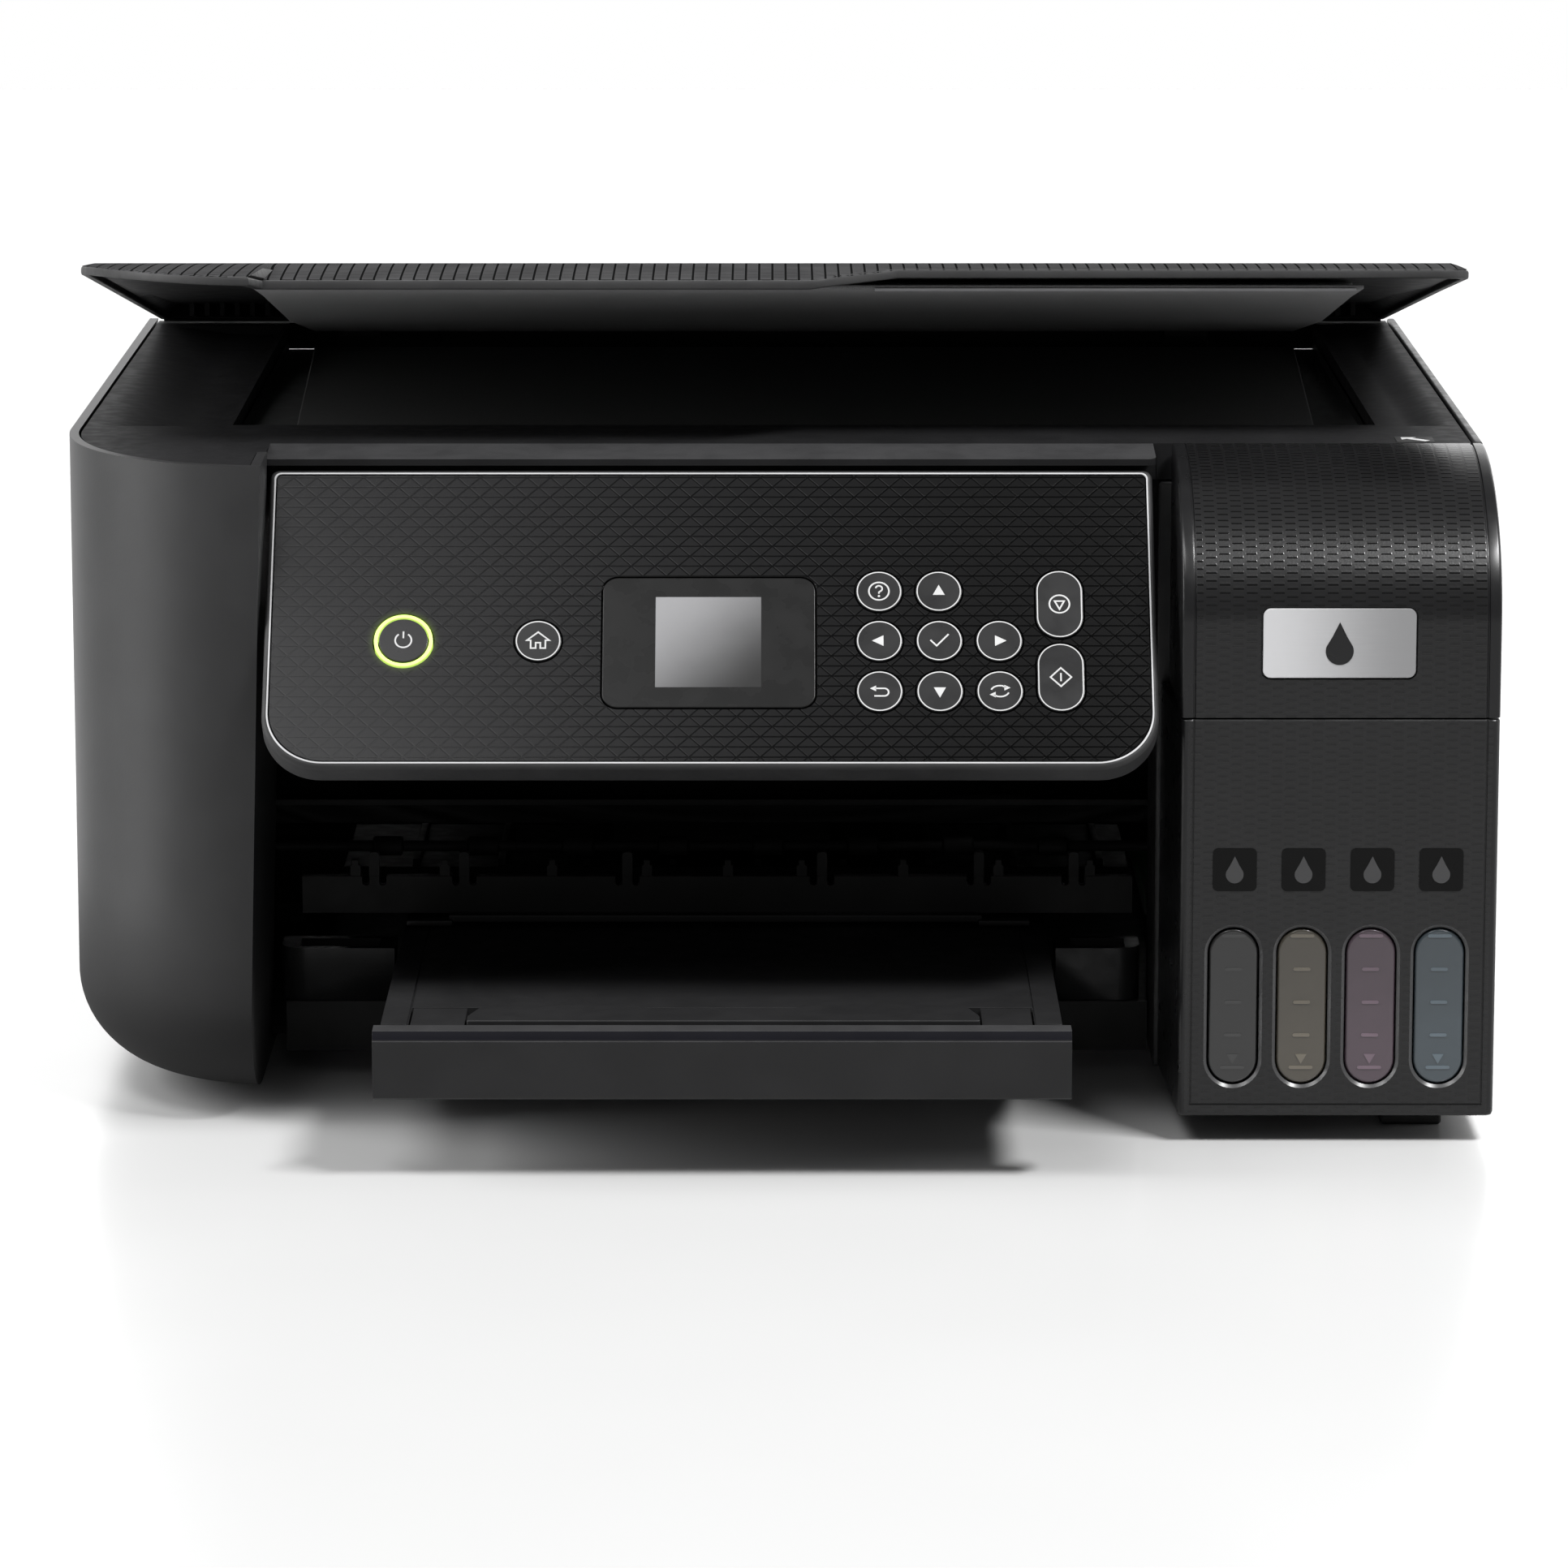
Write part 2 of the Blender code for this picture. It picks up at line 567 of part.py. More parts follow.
def make_panel(looks):
    hinge = pivot("panel_hinge", *PANEL_AXIS, lean=-PANEL_TILT)
    front = -PANEL_HALF_DEPTH
    shape = ((front, 1.1), (front + 0.6, 0.35), (front + 1.8, 0.0), (-front - 2.2, 0.0), (-front, 2.5))
    case = loft([[along("Y", p, y) for p in panel_outline(inset)] for y, inset in shape])
    body = add("panel_case", case, looks["case"], hinge, local=True)
    recess = prism("Y", panel_outline(FACE_INSET), front - 2, front + 1.5)
    cut(body, recess, local=True)

    def spot(x, row):
        return x, BUTTON_TOP - row

    keys = {
        "power_button": circle(spot(*POWER), 6.3),
        "home_button": circle(spot(*HOME), BUTTON_RADIUS),
        "help_button": circle(spot(KEY_COLUMNS[0], KEY_ROWS[0]), BUTTON_RADIUS),
        "up_button": circle(spot(KEY_COLUMNS[1], KEY_ROWS[0]), BUTTON_RADIUS),
        "left_button": circle(spot(KEY_COLUMNS[0], KEY_ROWS[1]), BUTTON_RADIUS),
        "ok_button": circle(spot(KEY_COLUMNS[1], KEY_ROWS[1]), BUTTON_RADIUS),
        "right_button": circle(spot(KEY_COLUMNS[2], KEY_ROWS[1]), BUTTON_RADIUS),
        "back_button": circle(spot(KEY_COLUMNS[0], KEY_ROWS[2]), BUTTON_RADIUS),
        "down_button": circle(spot(KEY_COLUMNS[1], KEY_ROWS[2]), BUTTON_RADIUS),
        "swap_button": circle(spot(KEY_COLUMNS[2], KEY_ROWS[2]), BUTTON_RADIUS),
        "stop_button": obround(spot(OBROUND_X, OBROUND_ROWS[0]), *OBROUND_HALF),
        "start_button": obround(spot(OBROUND_X, OBROUND_ROWS[1]), *OBROUND_HALF),
    }
    centres = [spot(*POWER), spot(*HOME)]
    centres += [spot(KEY_COLUMNS[c], KEY_ROWS[r]) for r in range(3) for c in range(3) if (r, c) != (0, 2)]
    radii = [POWER_RING[1] + GAP] + [BUTTON_RADIUS + GAP] * 9
    wells = [circle(c, r) for c, r in zip(centres, radii)]
    wells += [obround(spot(OBROUND_X, row), OBROUND_HALF[0] + GAP, OBROUND_HALF[1] + GAP) for row in OBROUND_ROWS]
    x0, x1, top, bottom = SCREEN
    frame = rounded(x0 - GAP, x1 + GAP, BUTTON_TOP - bottom - GAP, BUTTON_TOP - top + GAP, (4.4,) * 4)
    openings = [prism("Y", well, front - 4, 0.7) for well in wells]
    openings.append(prism("Y", frame, front - 4, -1.0))
    cut(body, *openings, local=True)
    face = prism("Y", panel_outline(FACE_INSET + GAP), front, front + 1.2)
    plate = add("panel_face", face, looks["gloss"], hinge, local=True)
    cut(plate, *openings, local=True)
    window = rounded(x0, x1, BUTTON_TOP - bottom, BUTTON_TOP - top, (4.0,) * 4)
    add("panel_screen", prism("Y", window, front - 0.1, -1.4), looks["gloss"], hinge, local=True)
    ring = prism("Y", circle(spot(*POWER), POWER_RING[1], 32), front - 0.2, front + 3)
    light = add("power_ring", ring, looks["ring"], hinge, local=True)
    cut(light, prism("Y", circle(spot(*POWER), POWER_RING[0], 32), front - 2, front + 5), local=True)
    for name, outline in keys.items():
        add(name, prism("Y", outline, front - 0.2, -0.6), looks["gloss"], hinge, local=True)


# Output tray


def make_tray(look):
    slide = pivot("tray_slide", TANK_FRONT + 40, TRAY_TOP)
    y0 = TANK_FRONT - 11
    tray = add("output_tray", block(-93.5, 67.5, y0, TRAY_REAR, 35, TRAY_TOP), look, slide)
    for x0, x1 in ((TRAY_LEFT, -93), (67, TRAY_RIGHT)):
        join(tray, block(x0, x1, LIP[3] + 1, TRAY_REAR, 27, TRAY_TOP))
    reach = pivot("extension_slide", LIP[3], LIP_Z[0])
    extension = add("tray_extension", block(*LIP, *LIP_Z), look, reach)
    join(extension, block(-92.4, 66.4, LIP[3] - 1, TANK_FRONT + 70, 28, 34))
    flap = pivot("stopper_hinge", *STOPPER_AXIS)
    stopper = add("paper_stopper", block(-78, 53, TANK_FRONT - 30, TANK_FRONT - 11.6, 35, 39.4), look, flap)
    cut(stopper, prism("Z", rounded(-34, 8, TANK_FRONT - 15, TANK_FRONT - 5, (3,) * 4), 36.5, 45))


# Print engine


def make_main_frame(look):
    plate = add("main_frame", block(-FRAME_SIDE, FRAME_SIDE, RAIL_Y, RAIL_Y + SHEET, 70, 112), look)
    front = TANK_FRONT + 104
    for x in (-FRAME_SIDE, FRAME_SIDE - SHEET):
        join(plate, block(x, x + SHEET, FRAME_FRONT, FRAME_REAR, 9.9, 111.5))
    join(plate, block(-FRAME_SIDE + 0.2, FRAME_SIDE - 0.2, front, front + SHEET, 64.2, 71))
    join(plate, block(-FRAME_SIDE + 0.3, FRAME_SIDE - 0.3, front + 0.2, front + 8, 69.4, 70.8))
    cut(plate, rod("X", EXIT_SHAFT, 3.1, -180, 180, 16))
    cut(plate, rod("X", FEED_SHAFT, 3.7, -180, 180, 16))
    for x in (-PULLEY_X, PULLEY_X):
        cut(plate, rod("Y", (x, PULLEY_Z), 2.5, RAIL_Y - 5, RAIL_Y + 5, 16))


def make_rollers(looks):
    exit_axis = pivot("exit_roller_spin", *EXIT_SHAFT)
    profile = [(-172, 2.6)]
    for k in range(8):
        x = -98.0 + 23.5 * k
        profile += [(x - 4.6, 2.6), (x - 4.5, 5.5), (x + 4.5, 5.5), (x + 4.6, 2.6)]
    profile += [(174, 2.6)]
    shaft = add("exit_roller", turned("X", EXIT_SHAFT, profile, 14), looks["rubber"], exit_axis)
    join(shaft, prism("X", gear(EXIT_SHAFT, 8.4, 10.4, 20), 169.6, 173))
    feed_axis = pivot("feed_roller_spin", *FEED_SHAFT)
    profile = [(-172, 3.2), (-116, 3.2), (-115, 6.0), (95, 6.0), (96, 3.2), (174, 3.2)]
    shaft = add("feed_roller", turned("X", FEED_SHAFT, profile, 20), looks["metal"], feed_axis)
    join(shaft, prism("X", gear(FEED_SHAFT, 14.0, 16.0, 32), 169.6, 173))
    pickup_axis = pivot("pickup_roller_spin", *PICKUP_SHAFT)
    profile = [(-72, 3.0), (-20.1, 3.0), (-20, 16.0), (20, 16.0), (20.1, 3.0), (72, 3.0)]
    add("pickup_roller", turned("X", PICKUP_SHAFT, profile, 24), looks["rubber"], pickup_axis)


def make_paper_path(look):
    platen = add("platen", block(-118, 98, TANK_FRONT + 115, TANK_FRONT + 176, 44, 50), look)
    for k in range(9):
        x = -98.0 + 23.5 * k
        join(platen, block(x - 1, x + 1, TANK_FRONT + 116, TANK_FRONT + 175, 49, 52))
    y0 = TANK_FRONT + 94
    comb = add("exit_comb", block(-128, 98, y0, y0 + 3.5, 41.4, 49), look)
    for k in range(9):
        x = -109.75 + 23.5 * k
        join(comb, block(x - 3.5, x + 3.5, y0 + 0.2, y0 + 3.3, 45, 54.5))


def make_carriage(looks):
    slide = pivot("carriage_slide", RAIL_Y, 112)
    x0, x1 = CARRIAGE_X
    carriage = block(x0, x1, TANK_FRONT + 124, TANK_FRONT + 170, 54, 104)
    carriage = add("print_carriage", carriage, looks["inner"], slide)
    join(carriage, block(x0 + 2, x1 - 2, TANK_FRONT + 165, RAIL_Y + 6, 113, 118))
    join(carriage, block(x0 + 3, x1 - 3, TANK_FRONT + 160, TANK_FRONT + 169, 100, 117))
    join(carriage, block(x0 + 3, x1 - 3, RAIL_Y + 3, RAIL_Y + 5.8, 98, 115))
    for k in range(4):
        x = x0 + 9 + 14 * k
        join(carriage, rod("Z", (x, TANK_FRONT + 140), 4.5, 103, 109, 12))
    for name, x in (("idler_pulley", -PULLEY_X), ("drive_pulley", PULLEY_X)):
        spin = pivot(f"{name}_spin", BELT_Y[0], PULLEY_Z, x=x)
        wheel = [(RAIL_Y - 2, 2.0), (BELT_Y[0] - 0.6, 2.0), (BELT_Y[0] - 0.5, PULLEY_RADIUS)]
        wheel += [(BELT_Y[1] + 0.5, PULLEY_RADIUS), (BELT_Y[1] + 0.6, 2.0), (BELT_Y[1] + 3, 2.0)]
        add(name, turned("Y", (x, PULLEY_Z), wheel, 20), looks["metal"], spin)

    def loop(radius):
        right = arc((PULLEY_X, PULLEY_Z), (radius, radius), -90, 90, 10)
        return right + arc((-PULLEY_X, PULLEY_Z), (radius, radius), 90, 270, 10)

    belt = add("drive_belt", prism("Y", loop(PULLEY_RADIUS + 1.3), *BELT_Y), looks["rubber"])
    cut(belt, prism("Y", loop(PULLEY_RADIUS + 0.35), BELT_Y[0] - 2, BELT_Y[1] + 2))


# Rear paper feed and electronics


def make_rear_feed(look):
    slide = pivot("paper_support_slide", *SUPPORT_TOP, lean=-SUPPORT_LEAN)
    panel = block(-SUPPORT_HALF, SUPPORT_HALF, -1.2, 1.2, -SUPPORT_LENGTH, 0)
    support = add("paper_support", panel, look, slide, local=True)
    join(support, block(-40, 40, -3.4, 0.5, -4, -0.4), local=True)
    y = TANK_FRONT + 326.3
    for side, name in ((-1, "edge_guide_left"), (1, "edge_guide_right")):
        guide_slide = pivot(f"{name}_slide", y, 150, x=side * 101)
        x0, x1 = sorted((side * 99.5, side * 103))
        guide = add(name, block(x0, x1, y, y + 5.2, 140, 163), look, guide_slide)
        x0, x1 = sorted((side * 94.0, side * 100.0))
        join(guide, block(x0, x1, y + 0.2, y + 1.8, 156, 162.5))


def make_electronics(looks):
    supply = add("power_supply", block(-172, -126, TANK_FRONT + 225, TANK_FRONT + 315, 17, 58), looks["inner"])
    for x in (-150, -132):
        join(supply, block(x - 4, x + 4, TANK_FRONT + 232, TANK_FRONT + 240, 9.9, 18))
    join(supply, block(-160, -136, TANK_FRONT + 312, REAR - 0.6, 20, 40))
    cut(supply, block(-155.5, -140.5, REAR - 14, REAR + 4, 24.5, 35.5))
    board = add("main_board", block(108, 180, TANK_FRONT + 215, TANK_FRONT + 320, 14, 15.6), looks["board"])
    join(board, block(140, 154, TANK_FRONT + 305, REAR - 0.6, 15, 28))
    cut(board, block(142.5, 151.5, REAR - 13, REAR + 4, 17.5, 25.5))
    for x, y in ((113, 220), (175, 220), (113, 315), (175, 312)):
        join(board, rod("Z", (x, TANK_FRONT + y), 2.5, 9.9, 14.5, 12))
    join(board, block(125, 145, TANK_FRONT + 240, TANK_FRONT + 260, 15, 17.6))
    join(board, block(118, 130, TANK_FRONT + 275, TANK_FRONT + 298, 15, 24))


def main():
    clear_scene()
    looks = {
        "case": plastic("case_plastic", (0.030, 0.030, 0.031), 0.5),
        "tank": plastic("tank_case_plastic", (0.016, 0.016, 0.017), 0.45),
        "inner": plastic("inner_plastic", (0.012, 0.012, 0.012), 0.6),
        "gloss": plastic("panel_gloss", (0.010, 0.010, 0.011), 0.2),
        "ring": plastic("light_guide", (0.50, 0.80, 0.18), 0.4),
        "badge": plastic("badge_silver", (0.45, 0.45, 0.46), 0.35, 0.8),
        "glass": plastic("bed_glass", (0.02, 0.02, 0.02), 0.05, 0.0, 0.4),
        "pad": plastic("pad_foam", (0.06, 0.06, 0.06), 0.8),
        "metal": plastic("frame_steel", (0.30, 0.30, 0.31), 0.35, 1.0),
        "rubber": plastic("soft_rubber", (0.015, 0.015, 0.015), 0.85),
        "board": plastic("circuit_board", (0.02, 0.12, 0.05), 0.5),
    }
    make_left_case(looks["case"])
    make_right_case(looks["case"])
    make_base_pan(looks["inner"])
    make_rear_cover(looks["case"])
    make_front_frame(looks["case"])
    make_feet(looks["rubber"])
    make_tank_housing(looks["tank"])
    inks = {
        "black": (0.03, 0.03, 0.03),
        "yellow": (0.12, 0.10, 0.06),
        "magenta": (0.12, 0.07, 0.10),
        "cyan": (0.07, 0.11, 0.14),
    }
    for (ink, colour), x in zip(inks.items(), TANK_CENTRES):
        make_tank(f"ink_tank_{ink}", x, plastic(f"ink_{ink}", colour, 0.3))
        make_cap(f"tank_cap_{ink}", x, looks["rubber"])
    make_tank_cover(looks["tank"], looks["badge"])
    make_scanner(looks)
    make_lid(looks)
    make_panel(looks)
    make_tray(looks["inner"])
    make_main_frame(looks["metal"])
    make_rollers(looks)
    make_paper_path(looks["inner"])
    make_carriage(looks)
    make_rear_feed(looks["case"])
    make_electronics(looks)


main()
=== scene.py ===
"""The looks of the ink-tank printer: finer shells, materials, floor, light and camera.

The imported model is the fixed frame. Lengths are millimetres in its axes, but metres for the lights
and the camera: +X to the right seen from the front, -Y to the front, +Z up. Places come from the
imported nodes' boxes.
"""
import json
import math

import bmesh
import bpy
from mathutils import Matrix, Vector

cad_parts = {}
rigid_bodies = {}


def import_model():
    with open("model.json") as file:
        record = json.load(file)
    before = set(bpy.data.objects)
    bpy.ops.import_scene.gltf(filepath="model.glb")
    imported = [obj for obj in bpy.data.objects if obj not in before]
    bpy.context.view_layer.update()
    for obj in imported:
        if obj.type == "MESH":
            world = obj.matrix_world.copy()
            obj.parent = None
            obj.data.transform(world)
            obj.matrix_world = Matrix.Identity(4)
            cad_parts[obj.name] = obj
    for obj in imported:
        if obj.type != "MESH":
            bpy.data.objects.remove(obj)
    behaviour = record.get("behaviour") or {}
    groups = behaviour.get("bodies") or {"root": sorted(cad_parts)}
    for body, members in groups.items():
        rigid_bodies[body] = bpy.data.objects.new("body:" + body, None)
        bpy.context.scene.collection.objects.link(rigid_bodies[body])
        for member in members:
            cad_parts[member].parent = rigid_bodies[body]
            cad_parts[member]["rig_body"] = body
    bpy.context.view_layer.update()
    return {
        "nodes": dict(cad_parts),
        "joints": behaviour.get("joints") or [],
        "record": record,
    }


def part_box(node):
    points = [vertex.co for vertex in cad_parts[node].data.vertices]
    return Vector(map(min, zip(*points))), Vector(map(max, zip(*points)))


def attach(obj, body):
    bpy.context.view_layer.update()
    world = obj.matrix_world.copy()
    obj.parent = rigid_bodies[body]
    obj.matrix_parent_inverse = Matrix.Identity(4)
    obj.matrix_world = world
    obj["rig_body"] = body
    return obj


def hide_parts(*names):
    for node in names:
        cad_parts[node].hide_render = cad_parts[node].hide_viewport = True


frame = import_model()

MM = 0.001
JOINTS = {joint["name"]: joint for joint in frame["joints"]}
SLOTS = {part["node"]: part["material_slot"] for part in frame["record"]["subparts"]}


class Box:
    """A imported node's box at rest, in millimetres."""

    def __init__(self, node):
        low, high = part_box(node)
        self.x0, self.y0, self.z0 = low / MM
        self.x1, self.y1, self.z1 = high / MM
        self.x, self.y, self.z = (low + high) / 2 / MM


# Outlines: lists of 2-D points


def rectangle(a0, a1, b0, b1):
    return [(a0, b0), (a1, b0), (a1, b1), (a0, b1)]


def arc(centre, radii, start, end, steps):
    """Points on an ellipse from start to end, in degrees."""
    points = []
    for k in range(steps + 1):
        t = math.radians(start + (end - start) * k / steps)
        points.append((centre[0] + radii[0] * math.cos(t), centre[1] + radii[1] * math.sin(t)))
    return points


def circle(centre, radius, steps=48):
    return arc(centre, (radius, radius), 0.0, 360.0, steps)[:-1]


def rounded(a0, a1, b0, b1, radii, steps=8):
    """A rectangle with corner radii in the order low-low, high-low, high-high, low-high."""
    spots = ((a0, b0, 1, 1, 180), (a1, b0, -1, 1, 270), (a1, b1, -1, -1, 0), (a0, b1, 1, -1, 90))
    points = []
    for (a, b, da, db, start), radius in zip(spots, radii):
        centre = (a + da * radius, b + db * radius)
        points += arc(centre, (radius, radius), start, start + 90, steps)
    return points


def obround(centre, half_width, half_height, steps=20):
    """A slot shape, round at its top and bottom."""
    reach = half_height - half_width
    top = arc((centre[0], centre[1] + reach), (half_width, half_width), 0, 180, steps)
    bottom = arc((centre[0], centre[1] - reach), (half_width, half_width), 180, 360, steps)
    return top + bottom


def stroke(points, width, closed=False):
    """The outline of a line of some width along points; a closed one is a pair of loops."""
    count = len(points)
    sides = ([], [])
    for k, here in enumerate(points):
        before = points[k - 1] if closed or k else here
        after = points[(k + 1) % count] if closed or k < count - 1 else here
        way_in = Vector((here[0] - before[0], here[1] - before[1]))
        way_out = Vector((after[0] - here[0], after[1] - here[1]))
        way_in = way_in.normalized() if way_in.length > 1e-9 else way_out.normalized()
        way_out = way_out.normalized() if way_out.length > 1e-9 else way_in
        middle = (way_in + way_out).normalized()
        across = Vector((-middle.y, middle.x))
        reach = width / 2 / max(0.4, middle.dot(way_in))
        for side, sign in zip(sides, (1, -1)):
            side.append((here[0] + sign * across.x * reach, here[1] + sign * across.y * reach))
    return sides


def offset(outline, inset):
    """A closed outline moved inwards by inset."""
    inner, outer = stroke(outline, 2 * inset, closed=True)
    area = sum(a[0] * b[1] - b[0] * a[1] for a, b in zip(outline, outline[1:] + outline[:1]))
    return inner if area > 0 else outer


# Solids: (corners, faces) in millimetres


def along(axis, point, height):
    """A 3-D point from an outline point in the plane across axis, and its height along it."""
    a, b = point
    return {"X": (height, a, b), "Y": (a, height, b), "Z": (a, b, height)}[axis]


def loft(rings, ends=True):
    """A closed solid through rings of equally many 3-D points; without ends it closes on itself."""
    count = len(rings[0])
    corners = [p for ring in rings for p in ring]
    faces = []
    if ends:
        faces = [tuple(range(count)), tuple(range((len(rings) - 1) * count, len(rings) * count))]
    for r in range(len(rings) - 1 if ends else len(rings)):
        ahead = (r + 1) % len(rings)
        for k in range(count):
            beside = (k + 1) % count
            faces.append((r * count + k, r * count + beside, ahead * count + beside, ahead * count + k))
    return corners, faces


def prism(axis, outline, low, high):
    return loft([[along(axis, p, height) for p in outline] for height in (low, high)])


def frame_prism(axis, outer, inner, low, high):
    """A flat ring between two outlines of equally many points."""
    rings = [(outer, low), (outer, high), (inner, high), (inner, low)]
    return loft([[along(axis, p, height) for p in outline] for outline, height in rings], ends=False)


def block(x0, x1, y0, y1, z0, z1):
    return prism("Z", rectangle(x0, x1, y0, y1), z0, z1)


def rod(axis, centre, radius, low, high, steps=48):
    return prism(axis, circle(centre, radius, steps), low, high)


def turned(axis, centre, profile, steps=40):
    """A turned solid; profile is a list of (distance along the axis, radius)."""
    return loft([[along(axis, p, at) for p in circle(centre, radius, steps)] for at, radius in profile])


def several(solids):
    """One list of corners and faces from solids that don't touch each other."""
    corners = []
    faces = []
    for more_corners, more_faces in solids:
        start = len(corners)
        corners += more_corners
        faces += [tuple(start + k for k in face) for face in more_faces]
    return corners, faces


# Objects


def add(name, solid, look=None):
    """Make an object from a solid, with its faces pointing out."""
    corners, faces = solid
    work = bmesh.new()
    made = [work.verts.new(Vector(p) * MM) for p in corners]
    for face in faces:
        work.faces.new([made[k] for k in face])
    bmesh.ops.recalc_face_normals(work, faces=work.faces)
    mesh = bpy.data.meshes.new(name)
    work.to_mesh(mesh)
    work.free()
    piece = bpy.data.objects.new(name, mesh)
    if look is not None:
        mesh.materials.append(look)
    bpy.context.scene.collection.objects.link(piece)
    return piece


def settle(piece):
    """Apply the modifiers of a piece."""
    view = bpy.context.evaluated_depsgraph_get()
    mesh = bpy.data.meshes.new_from_object(piece.evaluated_get(view))
    piece.modifiers.clear()
    old = piece.data
    piece.data = mesh
    bpy.data.meshes.remove(old)


def change(piece, kind, solids):
    """Boolean a group of separate solids into or out of a piece."""
    tool = add("tool", several(solids))
    step = piece.modifiers.new(kind, "BOOLEAN")
    step.operation = kind
    step.solver = "EXACT"
    step.object = tool
    settle(piece)
    bpy.data.objects.remove(tool, do_unlink=True)


def cut(piece, *solids):
    change(piece, "DIFFERENCE", solids)


def join(piece, *solids):
    """Union each solid in turn, so that they may also overlap each other."""
    for solid in solids:
        change(piece, "UNION", [solid])


def soften(piece, width, segments=2, angle=32):
    """Round the edges that are sharper than angle, after joining the faces that lie flat together."""
    work = bmesh.new()
    work.from_mesh(piece.data)
    bmesh.ops.dissolve_limit(work, angle_limit=math.radians(0.1), verts=work.verts, edges=work.edges)
    work.to_mesh(piece.data)
    work.free()
    bevel = piece.modifiers.new("soften", "BEVEL")
    bevel.width = width * MM
    bevel.segments = segments
    bevel.limit_method = "ANGLE"
    bevel.angle_limit = math.radians(angle)
    bevel.use_clamp_overlap = True
    settle(piece)


def smooth(piece, angle=40):
    """Shade smooth, with flat faces kept flat and edges above angle kept sharp."""
    piece.data.shade_smooth()
    piece.data.set_sharp_from_angle(angle=math.radians(angle))
    even = piece.modifiers.new("even", "WEIGHTED_NORMAL")
    even.keep_sharp = True
    even.weight = 60
    settle(piece)


def place(piece, body, slot, *nodes, at=None):
    """Put a finished piece on its body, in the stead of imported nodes."""
    if at is not None:
        piece.matrix_world = at
    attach(piece, body)
    if nodes:
        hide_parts(*nodes)
    return piece


def dress(piece, body, slot, *nodes, width=0.0, segments=2, at=None):
    """Round a piece's edges where a width is given, shade it and place it."""
    if width:
        soften(piece, width, segments, 40)
    smooth(piece, 40 if width else 30)
    return place(piece, body, slot, *nodes, at=at)


def tidy_copy(node):
    """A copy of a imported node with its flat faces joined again, ready for finer edges."""
    work = bmesh.new()
    work.from_mesh(frame["nodes"][node].data)
    bmesh.ops.remove_doubles(work, verts=work.verts, dist=0.000002)
    bmesh.ops.dissolve_limit(work, angle_limit=math.radians(0.5), verts=work.verts, edges=work.edges)
    mesh = bpy.data.meshes.new(f"fine_{node}")
    work.to_mesh(mesh)
    work.free()
    mesh.materials.clear()
    piece = bpy.data.objects.new(f"fine_{node}", mesh)
    bpy.context.scene.collection.objects.link(piece)
    return piece


def body_of(node):
    return frame["nodes"][node]["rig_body"]


def refine(node, look, width=0.5, segments=2, add_solids=(), cut_solids=(), angle=32):
    """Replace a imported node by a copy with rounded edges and, where given, more detail."""
    piece = tidy_copy(node)
    if add_solids:
        join(piece, *add_solids)
    if cut_solids:
        cut(piece, *cut_solids)
    soften(piece, width, segments, angle)
    piece.data.materials.clear()
    piece.data.materials.append(look)
    smooth(piece)
    return place(piece, body_of(node), SLOTS[node], node)


# Materials


def tone(colour, factor):
    return tuple(min(1.0, channel * factor) for channel in colour)


